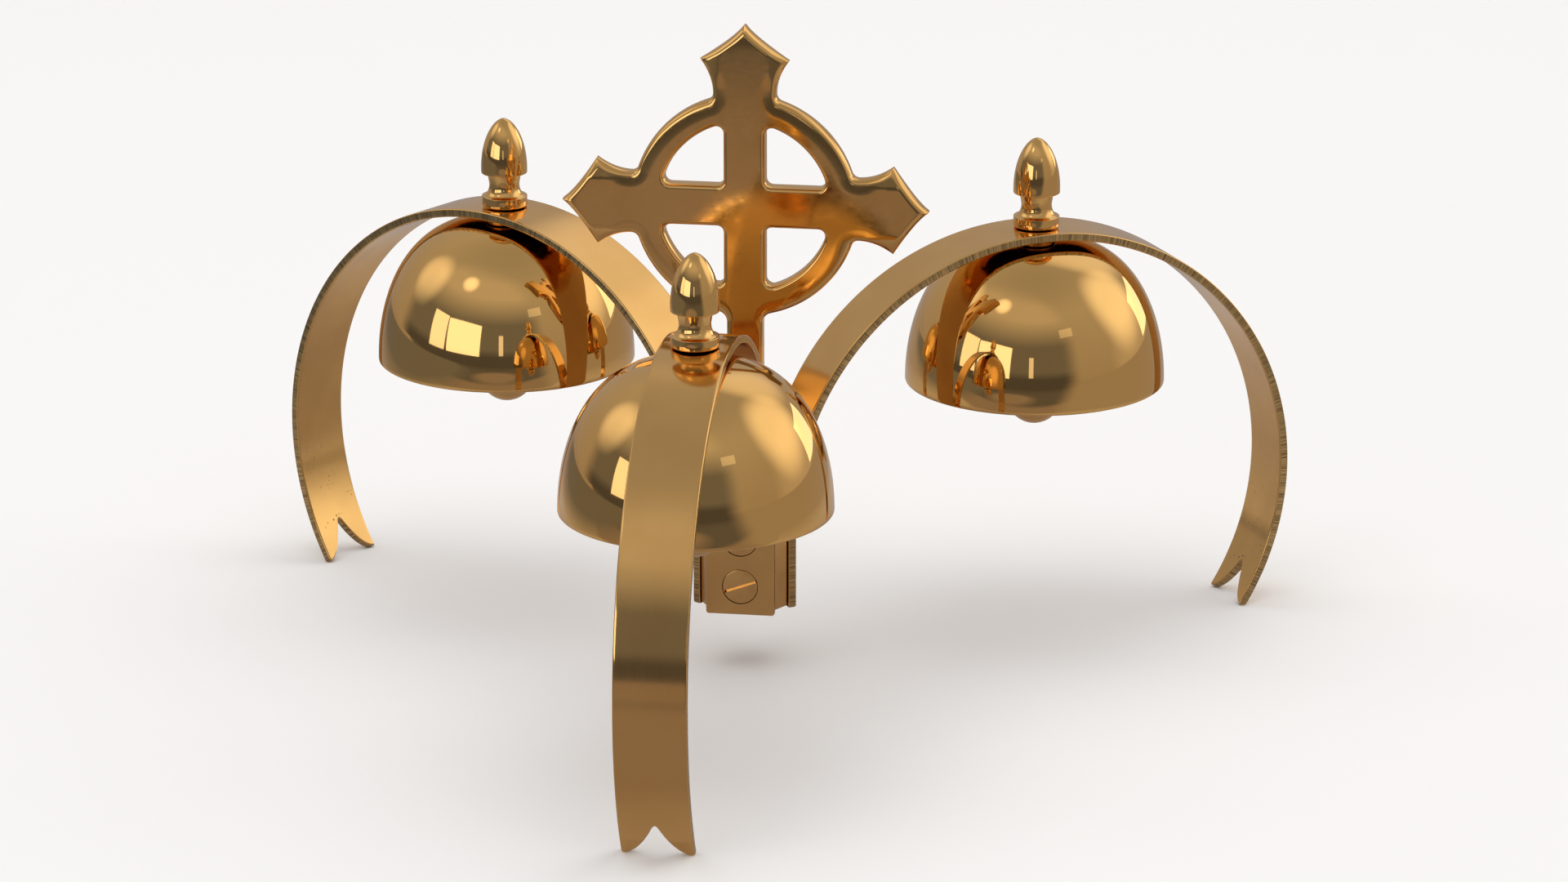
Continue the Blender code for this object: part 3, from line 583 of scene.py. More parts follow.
stem_low = 38.6 * mm
opening_corner = 1.6 * mm
opening_wall = 1.2 * mm
opening_round = 1.05 * mm
tenon_radius = 2.5 * mm
tenon_low = 15.3 * mm
tenon_overlap = 1.0 * mm
tenon_ease = 0.3 * mm
tenon_sides = 64
arm_fillet_steps = 9
arm_side_steps = 15
arm_end_steps = 19
tip_lean_share = 0.2
tip_gap = 0.01 * mm
ring_steps = 34
stem_fillet_steps = 10
stem_steps = 12
near_corner_steps = 7
far_corner_steps = 8
opening_ring_steps = 30
edge_steps = 19
face_margin = 1.04
cross_smooth_angle = 50


def arm_edge(draw):
    """Outline of the right arm drawn in by a distance, from the ring's lower side to its upper side. A
    fillet leaves the ring, the side flares by the square of the way, and the end runs to the tip as (1 -
    way) to a power. Each part is moved along its own inward normal and is cut short at a corner by the
    distance over the tangent of half its angle."""
    fillet_y = arm_neck + arm_fillet
    fillet_x = np.sqrt((ring_outer + arm_fillet) ** 2 - fillet_y**2)
    turn = np.linspace(np.arctan2(fillet_y, -fillet_x), np.pi / 2, arm_fillet_steps)[:-1]
    round_x = fillet_x + (arm_fillet + draw) * np.cos(turn)
    round_y = -fillet_y + (arm_fillet + draw) * np.sin(turn)
    side_length = arm_shoulder - fillet_x
    end_length = arm_tip - arm_shoulder
    flare = arm_wide - arm_neck
    side_lean = np.arctan(2 * flare / side_length)
    end_slope = arm_wide * arm_power / end_length
    end_lean = np.arctan(end_slope)
    tip_lean = np.arctan(end_slope * tip_lean_share ** (arm_power - 1))
    short = draw / np.tan((np.pi - side_lean - end_lean) / 2)
    f = np.linspace(0, 1 - short * np.cos(side_lean) / side_length, arm_side_steps)
    slope = 2 * flare * f / side_length
    size = np.hypot(1, slope)
    side_x = fillet_x + side_length * f + draw * slope / size
    side_y = -arm_neck - flare * f**2 + draw / size
    last = 1 - draw / np.tan(tip_lean) * np.cos(tip_lean) / end_length
    g = np.linspace(short * np.cos(end_lean) / end_length, last, arm_end_steps)[1:-1]
    slope = end_slope * (1 - g) ** (arm_power - 1)
    size = np.hypot(1, slope)
    end_x = arm_shoulder + end_length * g - draw * slope / size
    end_y = np.minimum(draw / size - arm_wide * (1 - g) ** arm_power, -tip_gap)
    x = np.concatenate([round_x, side_x, end_x])
    y = np.concatenate([round_y, side_y, end_y])
    tip = arm_tip - tip_blunt * max(0, 1 - draw / edge_reach) - draw / np.sin(tip_lean)
    x = np.concatenate([x, [tip], x[::-1]])
    y = np.concatenate([y, [0.0], -y[::-1]])
    return np.stack([x, y], axis=1)


def cross_edge(draw):
    """Whole outline drawn in by a distance: three arms a quarter turn apart, arcs of the ring between
    them, and the stem, whose edges are drawn in less and whose fillets pass from one amount to the
    other."""
    arm = arm_edge(draw)
    join = np.arcsin((arm_neck + arm_fillet) / (ring_outer + arm_fillet))
    stem_x = stem_half + stem_fillet
    stem_y = np.sqrt((ring_outer + stem_fillet) ** 2 - stem_x**2)
    foot = np.arcsin(stem_x / (ring_outer + stem_fillet))
    ring = ring_outer - draw

    def arc(start, end):
        turn = np.linspace(start, end, ring_steps)[1:-1]
        return np.stack([ring * np.cos(turn), ring * np.sin(turn)], axis=1)

    turn = np.linspace(np.pi, np.arctan2(stem_y, -stem_x), stem_fillet_steps)
    reach = stem_fillet + draw * np.linspace(stem_round, 1, stem_fillet_steps)
    down = np.linspace(stem_low - cross_z + draw * stem_round, -stem_y, stem_steps)[:-1]
    edge = np.full(down.shape, stem_half - draw * stem_round)
    rising_x = np.concatenate([edge, stem_x + reach * np.cos(turn)])
    rising_y = np.concatenate([down, -stem_y + reach * np.sin(turn)])
    rising = np.stack([rising_x, rising_y], axis=1)
    falling = (rising * np.array([-1, 1]))[::-1]
    top = np.stack([-arm[:, 1], arm[:, 0]], axis=1)
    parts = [arm, arc(join, np.pi / 2 - join), top, arc(np.pi / 2 + join, np.pi - join), -arm]
    parts += [arc(np.pi + join, 1.5 * np.pi - foot), falling, rising]
    parts += [arc(1.5 * np.pi + foot, 2 * np.pi - join)]
    return np.concatenate(parts)


def opening_edge(grow, quarter):
    """Outline of one opening, grown by a distance: three rounded corners and an arc of the ring's inside,
    turned by a number of quarter turns."""
    near = bar_half + opening_corner
    reach = ring_inner - opening_corner
    side = np.arcsin(near / reach)
    far = reach * np.cos(side)
    corner = opening_corner + grow
    first = np.linspace(np.pi, 1.5 * np.pi, near_corner_steps)
    second = np.linspace(-np.pi / 2, side, far_corner_steps)
    ring = np.linspace(side, np.pi / 2 - side, opening_ring_steps)[1:-1]
    third = np.linspace(np.pi / 2 - side, np.pi, far_corner_steps)
    x = [near + corner * np.cos(first), far + corner * np.cos(second), (ring_inner + grow) * np.cos(ring)]
    y = [near + corner * np.sin(first), near + corner * np.sin(second), (ring_inner + grow) * np.sin(ring)]
    x = np.concatenate(x + [near + corner * np.cos(third)])
    y = np.concatenate(y + [far + corner * np.sin(third)])
    turn = quarter * np.pi / 2
    return np.stack([x * np.cos(turn) - y * np.sin(turn), x * np.sin(turn) + y * np.cos(turn)], axis=1)


def rounded_over(edge, wall, amount):
    """Loops from the front face over an edge to the back. Drawn in by d, the face rises from the wall by
    a quarter ellipse over the edge's own reach, which is narrower on the ring than on the arms, and by a
    parabola over the whole amount, which gives a soft share of the height and fades out along the arms.
    The arms' ends droop by the square of the way to the tip and by a power of the way to the corners."""
    u = 1 - np.cos(np.linspace(np.pi / 2, 0, edge_steps))
    draw = amount * u
    gentle = 1 - (1 - u) ** 2
    draw = np.concatenate([[amount * face_margin], draw])
    gentle = np.concatenate([[1], gentle])[:, None]
    flat = np.stack([edge(d) for d in draw])
    far = np.linalg.norm(flat, axis=2)
    on_arm = np.clip((far - arm_start) / (arm_full - arm_start), 0, 1)
    reach = np.minimum(ring_reach + (edge_reach - ring_reach) * on_arm, amount)
    steep = np.sqrt(1 - (1 - np.minimum(draw[:, None] / reach, 1)) ** 2)
    share = soft_share * (1 - on_arm)
    lift = wall + (cross_half_thick - wall) * ((1 - share) * steep + share * gentle)
    across = np.abs(flat).min(axis=2)
    above_stem = flat[:, :, 1] > -ring_outer
    to_tip = np.clip((far - tip_start) / (arm_tip - tip_start), 0, 1)
    to_corner = np.clip((across - corner_start) / (arm_wide - corner_start), 0, 1) * on_arm
    lift = lift - above_stem * (tip_droop * to_tip**2 + corner_droop * to_corner**corner_power) * steep
    flat = np.concatenate([flat, flat[::-1]])
    deep = np.concatenate([-lift, lift[::-1]])
    return np.stack([flat[..., 0], hub_y + deep, cross_z + flat[..., 1]], axis=-1)


def cross_mesh():
    """The rounded-over outline and openings, the flat faces between them, front and back, and the foot of
    the stem with the turned tenon below it."""
    stacks = [rounded_over(cross_edge, cross_wall, cross_round)]
    for quarter in range(4):
        stacks.append(rounded_over(lambda d: opening_edge(d, quarter), opening_wall, opening_round))
    starts = np.cumsum([0] + [stack.shape[0] * stack.shape[1] for stack in stacks])
    faces = np.concatenate([bands(stack) + start for stack, start in zip(stacks, starts)]).tolist()
    rims = [[Vector((x, z, 0)) for x, y, z in stack[0]] for stack in stacks]
    fill = np.array(tessellate_polygon(rims))
    front = np.concatenate([start + np.arange(stack.shape[1]) for stack, start in zip(stacks, starts)])
    to_back = np.concatenate([np.full(stack.shape[1], stack[1:, :, 0].size) for stack in stacks])
    faces += front[fill].tolist() + (front + to_back)[fill].tolist()
    tenon_high = stem_low + tenon_overlap
    tenon_profile = [(0, tenon_high), (tenon_radius, tenon_high), (tenon_radius, tenon_low), (0, tenon_low)]
    tenon = turned(eased(tenon_profile, tenon_ease), tenon_sides) + np.array([0, hub_y, 0])
    faces += (bands(tenon) + starts[-1]).tolist()
    points = np.concatenate([stack.reshape(-1, 3) for stack in stacks] + [tenon.reshape(-1, 3)])
    return closed_mesh("cross", points, faces)


cast_brass = brass("cast brass", bright=(0.81, 0.49, 0.175), dull=(0.74, 0.43, 0.14),
                   smooth=0.06, rough=0.13, patch=45, grain=(500, 500, 900), bump=0.15)
ringed_cross = new_piece("ringed_cross", cross_mesh(), cast_brass, sharp=cross_smooth_angle)
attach(ringed_cross, "stand")
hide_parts("cross")

# Bells: three domes turned from cast brass, with an even wall and a rounded lip, mirror-polished outside
# and left as turned inside. Each hangs by its crown from the bolt that comes down through the strip.
bell_radius = 31.0 * mm
bell_height = 34.3 * mm
bell_wall = 1.5 * mm
bell_lip = 61.6 * mm
bell_width_power = 2.86
bell_height_power = 1.98
bell_outside_steps = 72
bell_lip_steps = 11
bell_inside_steps = 48
bell_sides = 160


def dome(radius, height, steps):
    """Half of a superellipse from the bolt hole down to the lip: r = R cos(t)^(2/a) and z = H
    sin(t)^(2/b)."""
    start = np.arccos((bolt_hole / radius) ** (bell_width_power / 2))
    t = np.linspace(start, 0, steps)
    r = radius * np.cos(t) ** (2 / bell_width_power)
    return np.stack([r, height * np.sin(t) ** (2 / bell_height_power)], axis=1)


def on_bell_axis(loops):
    """Move a piece turned about the upright axis out to the axis of a bell on a leg that lies along
    +X."""
    return loops + np.array([bell_reach, 0, 0])


def bell_loops():
    """Bell on its axis: down the outside, round the lip and up the inside, back to the bolt hole."""
    outside = dome(bell_radius, bell_height, bell_outside_steps)
    inside = dome(bell_radius - bell_wall, bell_height - bell_wall, bell_inside_steps)
    turn = np.linspace(0, np.pi, bell_lip_steps + 2)[1:-1]
    lip_r = bell_radius - bell_wall / 2 + bell_wall / 2 * np.cos(turn)
    lip = np.stack([lip_r, -bell_wall / 4 * np.sin(turn)], axis=1)
    lift = np.array([0, bell_lip + bell_wall / 4])
    return turned(np.concatenate([outside, lip, inside[::-1]]) + lift, bell_sides)


mirror_brass = brass("mirror brass", bright=(0.83, 0.51, 0.18), dull=(0.80, 0.48, 0.165),
                     smooth=0.025, rough=0.05, patch=40, grain=(260, 260, 260), bump=0.02)
turned_inside = brass("turned inside", bright=(0.78, 0.47, 0.165), dull=(0.71, 0.42, 0.145),
                      smooth=0.16, rough=0.26, patch=50, grain=(90, 90, 3600), bump=0.2)
bell_mesh = skin("bell", on_bell_axis(bell_loops()), closed_stack=True)
row = np.arange(len(bell_mesh.polygons)) // bell_sides
bell_mesh.polygons.foreach_set("material_index", (row >= bell_outside_steps + bell_lip_steps).astype(int))
for leg in leg_turns:
    bell = new_piece(f"bell_dome_{leg}", stood_on_leg(bell_mesh, leg), mirror_brass, turned_inside)
    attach(bell, "stand")
    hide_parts(f"bell_{leg}")

# Acorn nuts: turned and polished caps that screw onto the bolts above the strips and clamp the bells.
# Each has a flat disc, a hollow neck and an acorn that overhangs the neck.
acorn_foot = 99.7 * mm
acorn_disc = 5.48 * mm
acorn_disc_high = 2.4 * mm
acorn_neck = 3.62 * mm
acorn_neck_z = 5.2 * mm
acorn_under = 8.05 * mm
acorn_belly = 5.55 * mm
acorn_belly_z = 9.3 * mm
acorn_top = 21.45 * mm
acorn_power = 1.75
acorn_disc_draw = 0.2 * mm
acorn_disc_edge = 0.25 * mm
acorn_disc_ease = 0.05 * mm
acorn_disc_ease_steps = 4
acorn_rim_draw = 0.12 * mm
acorn_rim_rise = 0.06 * mm
acorn_neck_rise = 0.3 * mm
acorn_neck_steps = 16
acorn_widening = 0.45 * mm
acorn_under_ease = 0.3 * mm
acorn_under_ease_steps = 6
acorn_cap_steps = 34


def acorn_profile():
    """Disc with eased rims, a neck that is a quarter ellipse down to the disc's rim, a straight widening
    up to the flat underside of the cap, and the cap, r = belly (1 - s^2)^(1/p) for a share s of the way
    from belly to tip."""
    rim = acorn_disc - acorn_rim_draw
    rim_z = acorn_disc_high + acorn_rim_rise
    disc = [(0, 0), (acorn_disc - acorn_disc_draw, 0), (acorn_disc, acorn_disc_edge),
            (acorn_disc, acorn_disc_high), (rim, rim_z)]
    disc = eased(disc, acorn_disc_ease, acorn_disc_ease_steps)
    t = np.linspace(0, np.pi / 2, acorn_neck_steps)
    neck_r = rim - (rim - acorn_neck) * np.sin(t)
    neck_z = acorn_neck_z - (acorn_neck_z - rim_z) * np.cos(t)
    under = [(acorn_neck, acorn_neck_z + acorn_neck_rise), (acorn_neck + acorn_widening, acorn_under),
             (acorn_belly, acorn_under), (acorn_belly, acorn_belly_z)]
    under = eased(under, acorn_under_ease, acorn_under_ease_steps)
    s = np.sin(np.linspace(0, np.pi / 2, acorn_cap_steps))
    cap_r = acorn_belly * (1 - s**2) ** (1 / acorn_power)
    cap = np.stack([cap_r, acorn_belly_z + (acorn_top - acorn_belly_z) * s], axis=1)
    return np.concatenate([disc, np.stack([neck_r, neck_z], axis=1)[1:], under, cap[1:]])


acorn_mesh = skin("acorn", on_bell_axis(turned(acorn_profile() + np.array([0, acorn_foot]))))
for leg in leg_turns:
    acorn = new_piece(f"acorn_nut_{leg}", stood_on_leg(acorn_mesh, leg), mirror_brass)
    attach(acorn, "stand")
    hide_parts(f"finial_{leg}")

# Hanging bolts: each comes up from inside its bell, where its head holds the stirrup, and ends inside the
# acorn nut. A washer keeps the crown of the bell off the strip, and a six-sided nut clamps it from
# inside.
bolt_profile = [(0, 109.2), (2.0, 109.2), (2.0, 89.5), (3.4, 89.5), (3.4, 88.3), (2.0, 87.5), (0, 87.5)]
washer_profile = [(2.25, 97.05), (4.6, 97.05), (4.6, 96.15), (2.25, 96.15)]
nut_low = 91.15 * mm
nut_thick = 3.0 * mm
nut_corner = 4.0 * mm
nut_rows = np.array([0.0, 0.1, 0.22, 0.78, 0.9, 1.0])
nut_end_share = 0.9
nut_cone_slope = 0.45
bolt_ease = 0.25 * mm
washer_ease = 0.2 * mm


def nut_loops():
    """Six-sided nut round the bolt: the wall is the smaller of the six flats' distance, corner cos 30 /
    cos(t - middle of the flat), and a cone that takes off the corners at both ends; the inside is the
    bolt's hole."""
    turn = np.linspace(0, 2 * np.pi, lathe_sides, endpoint=False)
    flat = nut_corner * np.cos(np.pi / 6) / np.cos((turn % (np.pi / 3)) - np.pi / 6)
    cone = nut_corner * (nut_end_share + nut_cone_slope * np.minimum(nut_rows, 1 - nut_rows))
    wall = np.minimum(flat[None, :], cone[:, None])
    hole = np.full((2, len(turn)), bolt_hole)
    r = np.concatenate([hole[:1], wall, hole[1:]])
    z = nut_low + nut_thick * np.concatenate([[0], nut_rows, [1]])
    return np.stack([r * np.cos(turn), r * np.sin(turn), z[:, None] + 0 * r], axis=-1)


bolt_mesh = skin("bolt", on_bell_axis(turned(eased(np.array(bolt_profile) * mm, bolt_ease))))
washer_loops = turned(eased_loop(np.array(washer_profile) * mm, washer_ease))
washer_mesh = skin("washer", on_bell_axis(washer_loops), closed_stack=True)
nut_mesh = skin("nut", on_bell_axis(nut_loops()), closed_stack=True)
fittings = (("hanging_bolt", bolt_mesh, "hanger_bolt"), ("crown_washer", washer_mesh, "spacer"),
            ("crown_nut", nut_mesh, "lock_nut"))
for leg in leg_turns:
    for label, mesh, node in fittings:
        fitting = new_piece(f"{label}_{leg}", stood_on_leg(mesh, leg), turned_brass)
        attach(fitting, "stand")
        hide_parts(f"{node}_{leg}")

# Clapper hangers: a stirrup of bent brass strip turns on each bolt above its head, so that the clapper
# can swing any way. A riveted pin crosses its two rounded ears.
pin_z = 83.95 * mm
stirrup_half = 5.0 * mm
stirrup_top = 90.35 * mm
stirrup_low = 81.55 * mm
stirrup_plate = 1.2 * mm
stirrup_width = 2.5 * mm
stirrup_bend = 1.6 * mm
stirrup_bend_steps = 9
stirrup_ear_steps = 12
stirrup_last_share = 0.999
stirrup_section_ease = 0.2
stirrup_section_steps = 4
pin_ease = 0.1 * mm
pin_ease_steps = 3
pin_sides = 48
pin_profile = [(0, 6.45), (1.1, 6.45), (1.7, 6.1), (1.7, 5.85), (1.0, 5.85),
               (1.0, -5.85), (1.7, -5.85), (1.7, -6.1), (1.1, -6.45), (0, -6.45)]


def stirrup_loops():
    """A flat section carried along an upside-down U in the plane across the leg; over the last stretch of
    each ear its half width follows a circle, w sqrt(1 - s^2), so that the ears end round."""
    corners = [(-stirrup_half, stirrup_low), (-stirrup_half, stirrup_top), (stirrup_half, stirrup_top),
               (stirrup_half, stirrup_low)]
    bend = eased(corners, stirrup_bend, stirrup_bend_steps)
    ear = stirrup_low + stirrup_width * (1 - np.cos(np.linspace(0, np.pi / 2, stirrup_ear_steps)))
    left = np.stack([np.full(stirrup_ear_steps, -stirrup_half), ear], axis=1)
    right = (left * np.array([-1, 1]))[::-1]
    path = np.concatenate([left, bend[1:-1], right])
    ahead = np.gradient(path, axis=0)
    ahead /= np.linalg.norm(ahead, axis=1, keepdims=True)
    out = np.stack([-ahead[:, 1], ahead[:, 0]], axis=1)
    share = np.clip((stirrup_low + stirrup_width - path[:, 1]) / stirrup_width, 0, stirrup_last_share)
    half = stirrup_width * np.sqrt(1 - share**2)
    square = [(-1, -1), (1, -1), (1, 1), (-1, 1)]
    section = eased_loop(square, stirrup_section_ease, stirrup_section_steps)
    x = bell_reach + half[:, None] * section[None, :, 0]
    off = stirrup_plate / 2 * section[None, :, 1, None] * out[:, None, :]
    yz = path[:, None, :] + off
    return np.stack([x, yz[..., 0], yz[..., 1]], axis=-1)


def laid_across(loops):
    """Lay a piece turned about the upright axis down along the pin's line, across the leg at the height
    of the pin."""
    return np.stack([bell_reach + loops[..., 0], loops[..., 2], pin_z + loops[..., 1]], axis=-1)


stirrup_mesh = skin("stirrup", stirrup_loops())
pin_loops = turned(eased(np.array(pin_profile) * mm, pin_ease, pin_ease_steps), pin_sides)
pin_mesh = skin("pin", laid_across(pin_loops))
for leg in leg_turns:
    stirrup = new_piece(f"swivel_stirrup_{leg}", stood_on_leg(stirrup_mesh, leg), filed_brass)
    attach(stirrup, f"swivel_{leg}")
    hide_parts(f"clapper_stirrup_{leg}")
    pin = new_piece(f"swing_pin_{leg}", stood_on_leg(pin_mesh, leg), turned_brass)
    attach(pin, f"swivel_{leg}")
    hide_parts(f"clapper_pin_{leg}")

# Clappers: a turned brass ball on a shank whose eye hangs on the pin, free to swing until the ball meets
# the bell. The shank is screwed into the top of the ball.
ball_radius = 6.7 * mm
ball_z = 57.45 * mm
ball_steps = 60
ball_bore_low = 1.5 * mm
bore_gap = 0.15 * mm
shank_radius = 1.1 * mm
shank_ease = 0.5 * mm
shank_sides = 48
eye_ease = 0.4 * mm
eye_sides = 64
eye_profile = [(1.25, -1.2), (2.7, -1.2), (2.7, 1.2), (1.25, 1.2)]
shank_profile = [(0, 82.1), (1.9, 82.1), (1.1, 80.2), (1.1, 59.4), (0, 59.4)]


def ball_loops():
    """Ball with a drilled hole for the shank: r = R sin t and z = R cos t from the hole's rim to the
    bottom."""
    hole = shank_radius + bore_gap
    start = np.arcsin(hole / ball_radius)
    t = np.linspace(start, np.pi, ball_steps)
    round_part = np.stack([ball_radius * np.sin(t), ball_radius * np.cos(t)], axis=1)
    bore = np.array([(0, ball_bore_low), (hole, ball_bore_low)])
    return turned(np.concatenate([bore, round_part]) + np.array([0, ball_z]))


def shank_mesh():
    """Shank and eye in one mesh: a turned pin, and a ring turned about the swing pin's line."""
    shank = on_bell_axis(turned(eased(np.array(shank_profile) * mm, shank_ease), shank_sides))
    eye = laid_across(turned(eased_loop(np.array(eye_profile) * mm, eye_ease), eye_sides))
    points = np.concatenate([shank.reshape(-1, 3), eye.reshape(-1, 3)])
    faces = np.concatenate([bands(shank), bands(eye, True) + shank.shape[0] * shank.shape[1]])
    return closed_mesh("shank", points, faces.tolist())


ball_mesh = skin("ball", on_bell_axis(ball_loops()))
hung_shank = shank_mesh()
for leg in leg_turns:
    ball = new_piece(f"clapper_bob_{leg}", stood_on_leg(ball_mesh, leg), mirror_brass)
    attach(ball, f"clapper_{leg}")
    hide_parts(f"clapper_ball_{leg}")
    shank = new_piece(f"clapper_shank_{leg}", stood_on_leg(hung_shank, leg), turned_brass)
    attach(shank, f"clapper_{leg}")
    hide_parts(f"clapper_rod_{leg}")

# Tenon nut: a round nut in the underside of the hub block that draws the cross down onto it. The tenon is
# the turned end of the cross's stem.
nut_profile = [(2.75, 15.3), (4.4, 15.3), (4.4, 18.5), (2.75, 18.5)]
tenon_nut_ease = 0.3 * mm
tenon_nut_loops = turned(eased_loop(np.array(nut_profile) * mm, tenon_nut_ease)) + np.array([0, hub_y, 0])
tenon_nut = new_piece("tenon_nut", skin("tenon_nut", tenon_nut_loops, closed_stack=True), turned_brass)
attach(tenon_nut, "stand")
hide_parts("stem_nut")

# Floor: a pale level sheet that fills the view and takes the object's shadow. It is see-through from
# below, so that the underside can be looked at too.
floor_colour = (0.90, 0.90, 0.90)
floor_reach = 6.0
floor_height = -0.05 * mm


def level_sheet(name, low_y, high_y, height):
    """Level rectangle on the stage with an empty material: the sheet, the material's nodes and its
    links."""
    mesh = bpy.data.meshes.new(name)
    corners = [(-floor_reach, low_y, height), (floor_reach, low_y, height),
               (floor_reach, high_y, height), (-floor_reach, high_y, height)]
    mesh.from_pydata(corners, [], [(0, 1, 2, 3)])
    paint = bpy.data.materials.new(name)
    paint.use_nodes = True
    paint.node_tree.nodes.remove(paint.node_tree.nodes["Principled BSDF"])
    mesh.materials.append(paint)
    sheet = bpy.data.objects.new(name, mesh)
    bpy.context.scene.collection.objects.link(sheet)
    return sheet, paint.node_tree.nodes, paint.node_tree.links


def covered(nodes, links, share, surface):
    """A surface where a share is 1, and nothing where it is 0."""
    nothing = nodes.new("ShaderNodeBsdfTransparent")
    either = nodes.new("ShaderNodeMixShader")
    links.new(share, either.inputs["Fac"])
    links.new(nothing.outputs["BSDF"], either.inputs[1])
    links.new(surface, either.inputs[2])
    links.new(either.outputs["Shader"], nodes["Material Output"].inputs["Surface"])


floor_nodes, floor_links = level_sheet("floor", -floor_reach, floor_reach, floor_height)[1:]
facing = floor_nodes.new("ShaderNodeNewGeometry")
from_above = floor_nodes.new("ShaderNodeMath")
from_above.operation = "SUBTRACT"
from_above.inputs[0].default_value = 1.0
floor_links.new(facing.outputs["Backfacing"], from_above.inputs[1])
floor_paint = floor_nodes.new("ShaderNodeBsdfDiffuse")
floor_paint.inputs["Color"].default_value = (*floor_colour, 1)
covered(floor_nodes, floor_links, from_above.outputs["Value"], floor_paint.outputs["BSDF"])

# Cards: glowing brown, sand and grey sheets laid just above the floor, which nothing but the brass mirrors.
# Polished brass takes its tones from what is round it, and these give it its run of light and dark. The
# dark side lies at a turn and a rise, whole up to one angle round them and gone beyond another.
card_height = 0.3 * mm
front_card_start = 0.10
cross_card_middle = (-0.05, -0.39, 0)
left_card_middle = (-1.15, -0.10, 0)
dark_place = (-28, 0, 60, 78)
near_brown = (0.39, 0.35, 0.345)
brown = (0.30, 0.255, 0.255)
shade = (0.13, 0.13, 0.15)
gloom = (0.09, 0.09, 0.105)
dim = (0.18, 0.185, 0.21)
sand = (0.38, 0.34, 0.32)
front_stops = ((0.10, 1, near_brown), (0.12, 1, brown), (0.22, 1, brown), (0.26, 1, shade),
               (0.55, 1, shade), (1.0, 1, gloom))
cross_stops = ((0.0, 1, brown), (0.11, 1, brown), (0.19, 0, brown))
surround_stops = ((0.06, 1, brown), (0.10, 0.92, brown), (0.15, 0.76, brown),
                  (0.20, 0.80, sand), (0.30, 1, sand))
left_stops = ((0.0, 1, dim), (0.82, 1, dim), (0.98, 0, dim))
depth_alone = (0, 1, 0)
all_round = (1, 1, 0)


def way_out(turn, rise):
    """Way from the object to a place round it: an angle from the camera's side towards the right, and one
    upwards."""
    turn = np.radians(turn)
    rise = np.radians(rise)
    return Vector((np.cos(rise) * np.sin(turn), -np.cos(rise) * np.cos(turn), np.sin(rise)))


def vector_step(nodes, links, operation, vector, other=(0, 0, 0)):
    """One step of vector reckoning on a vector and a fixed second one: its two outputs."""
    step = nodes.new("ShaderNodeVectorMath")
    step.operation = operation
    step.inputs[1].default_value = other
    links.new(vector, step.inputs[0])
    return step.outputs


def share_towards(nodes, links, way, turn, rise, core, end, strength=1.0):
    """How far a way goes towards a place round the object: the whole strength within one angle of it,
    nothing beyond another, and a soft step between them."""
    towards = vector_step(nodes, links, "DOT_PRODUCT", way, way_out(turn, rise))["Value"]
    start = np.cos(np.radians(end))
    full = np.cos(np.radians(core))
    return ranged(nodes, links, towards, start, full, high=strength, soft=True)


def card(name, low_y, high_y, height, middle, along, stops, light_tone=None):
    """Card that only the brass mirrors. Each stop is a distance from the card's middle, a cover from 0 to
    1 and a tone; the distance counts the axes that are 1 in along, so that a card can be even across its
    width. A light tone takes the place of the stops' tones on the light side of the studio."""
    sheet, nodes, links = level_sheet(name, low_y, high_y, height)
    where = nodes.new("ShaderNodeTexCoord").outputs["Object"]
    line = vector_step(nodes, links, "MULTIPLY", where, along)["Vector"]
    away = vector_step(nodes, links, "DISTANCE", line, middle)["Value"]
    tones = tone_run(nodes, links, away, stops)
    colour = tones.outputs["Color"]
    if light_tone:
        from_hub = vector_step(nodes, links, "SUBTRACT", where, (0, hub_y, 0))["Vector"]
        way = vector_step(nodes, links, "NORMALIZE", from_hub)["Vector"]
        dark = share_towards(nodes, links, way, *dark_place)
        colour = mixed(nodes, links, dark, light_tone, colour)
    tone = nodes.new("ShaderNodeEmission")
    links.new(colour, tone.inputs["Color"])
    covered(nodes, links, tones.outputs["Alpha"], tone.outputs["Emission"])
    sheet.visible_camera = False
    sheet.visible_diffuse = False
    sheet.visible_shadow = False


card("front_card", -floor_reach, -front_card_start, card_height, (0, 0, 0), depth_alone, front_stops, sand)
card("cross_card", -floor_reach, -front_card_start, 2 * card_height, cross_card_middle, all_round,
     cross_stops)
card("surround_card", -front_card_start, floor_reach, card_height, (0, hub_y, 0), all_round, surround_stops)
card("left_card", -floor_reach, floor_reach, 3 * card_height, left_card_middle, all_round, left_stops)

# Soft boxes: rectangular lamps round the object, two to the left of the camera, one far round to the
# right and two small ones in front. The broad one above is for the floor alone, and the brass doesn't
# mirror it.
stage_middle = Vector((0, 0.03, 0.08))
stage_distance = 2.5
box_colour = (1.0, 0.98, 0.95)
floor_light_colour = (0.98, 0.99, 1.0)


def soft_box(name, turn, rise, wide, tall, glow, colour):
    """Rectangular lamp that faces the object. Its place and its width and height are angles seen from
    there, and its power is glow times pi times its area."""
    lamp = bpy.data.lights.new(name, "AREA")
    lamp.shape = "RECTANGLE"
    lamp.size = 2 * stage_distance * np.tan(np.radians(wide / 2))
    lamp.size_y = 2 * stage_distance * np.tan(np.radians(tall / 2))
    lamp.energy = glow * np.pi * lamp.size * lamp.size_y
    lamp.color = colour
    holder = bpy.data.objects.new(name, lamp)
    holder.location = stage_middle + stage_distance * way_out(turn, rise)
    holder.rotation_euler = (-way_out(turn, rise)).to_track_quat("-Z", "Y").to_euler()
    holder.visible_camera = False
    bpy.context.scene.collection.objects.link(holder)
    return holder


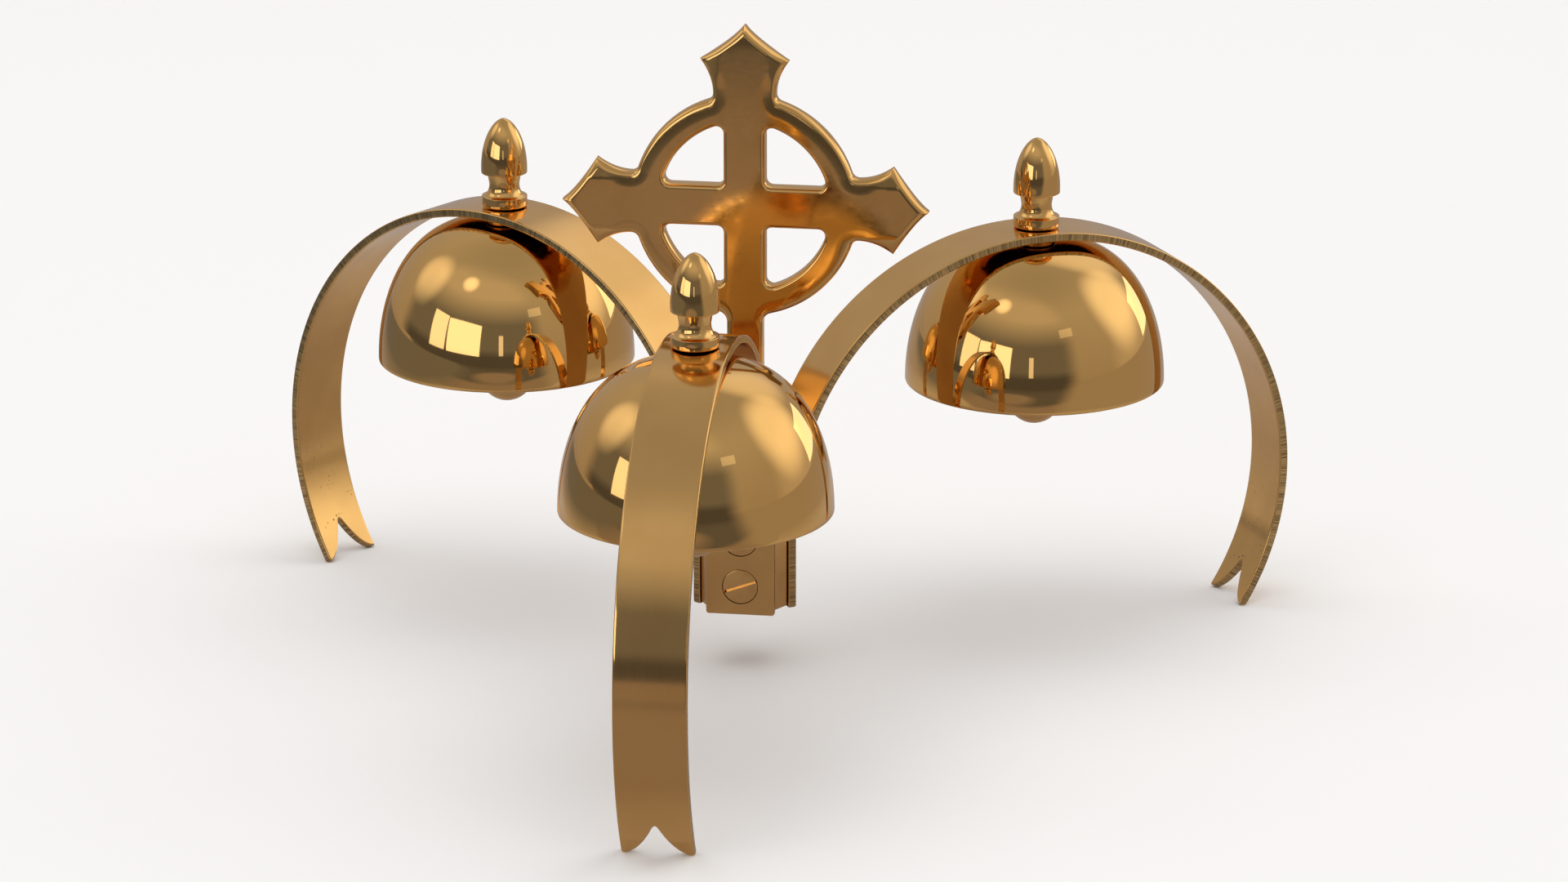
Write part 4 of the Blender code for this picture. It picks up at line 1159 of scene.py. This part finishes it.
soft_box("left_box_far", turn=-57, rise=11, wide=16, tall=19, glow=1.3, colour=box_colour)
soft_box("left_box_near", turn=-31, rise=11, wide=32, tall=19, glow=1.5, colour=box_colour)
soft_box("right_box", turn=137, rise=9, wide=22, tall=17, glow=1.3, colour=box_colour)
soft_box("narrow_box", turn=4.5, rise=8.5, wide=4, tall=12, glow=0.8, colour=box_colour)
soft_box("small_box", turn=40, rise=29, wide=12, tall=6, glow=0.3, colour=box_colour)
floor_light = soft_box("floor_light", turn=0, rise=90, wide=78, tall=78, glow=1.10,
                       colour=floor_light_colour)
floor_light.visible_glossy = False

# Light all round: a dark side in front and to the left, and a light side for the rest, each a run of
# tones from straight down to straight up. A few soft glows, each a turn, a rise, two angles and a
# strength, are added.
lit = (0.58, 0.55, 0.53)
pale = (0.43, 0.40, 0.38)
bright = (0.48, 0.46, 0.44)
top = (0.40, 0.39, 0.395)
dark_side = ((-0.30, brown), (-0.22, shade), (-0.08, gloom), (0.03, gloom), (0.10, dim), (0.36, dim),
             (0.66, lit), (0.82, lit), (1.0, top))
light_side = ((-0.35, brown), (-0.2, sand), (0.2, pale), (0.7, bright), (1.0, top))
glow_colour = (1.0, 0.95, 0.87)
left_glow = (-93, 34, 6, 22, 0.55)
right_glow = (110, 31, 10, 32, 0.70)
back_glow = (161, 41, 8, 26, 0.44)
low_glow = (112, 5, 10, 34, 0.12)
small_glow = (-40, 50, 1, 9, 0.95)
world = bpy.data.worlds.new("studio")
bpy.context.scene.world = world
world.use_nodes = True
studio_nodes = world.node_tree.nodes
studio_links = world.node_tree.links
look = studio_nodes.new("ShaderNodeTexCoord").outputs["Generated"]
split = studio_nodes.new("ShaderNodeSeparateXYZ")
studio_links.new(look, split.inputs["Vector"])
sine_share = ranged(studio_nodes, studio_links, split.outputs["Z"], -1.0, 1.0)


def by_height(ramp):
    """Colours of one side from straight down to straight up: each stop is the sine of an angle and a
    tone."""
    stops = [((sine + 1) / 2, 1, colour) for sine, colour in ramp]
    return tone_run(studio_nodes, studio_links, sine_share, stops).outputs["Color"]


dark = share_towards(studio_nodes, studio_links, look, *dark_place)
studio_colour = mixed(studio_nodes, studio_links, dark, by_height(light_side), by_height(dark_side))
for glow in (left_glow, right_glow, back_glow, low_glow, small_glow):
    glow_share = share_towards(studio_nodes, studio_links, look, *glow)
    studio_colour = mixed(studio_nodes, studio_links, glow_share, studio_colour, glow_colour, blend="ADD")
studio_links.new(studio_colour, studio_nodes["Background"].inputs["Color"])

# Camera: a long lens, aimed at the middle of the object at the photograph's viewing angle. The Standard
# view transform shows a colour about as it is written.
camera_lens = 138.12
camera_sensor = 36.0
camera_aim = Vector((9.08, 31.083, 54.93)) * mm
camera_back = Vector((0.13775, -0.94402, 0.29977)).normalized()
camera_distance = 1415.77 * mm
camera_data = bpy.data.cameras.new("camera")
camera_data.lens = camera_lens
camera_data.sensor_width = camera_sensor
camera_data.sensor_fit = "HORIZONTAL"
camera = bpy.data.objects.new("camera", camera_data)
camera.location = camera_aim + camera_back * camera_distance
camera.rotation_euler = (-camera_back).to_track_quat("-Z", "Y").to_euler()
bpy.context.scene.collection.objects.link(camera)
bpy.context.scene.camera = camera
bpy.context.scene.view_settings.view_transform = "Standard"
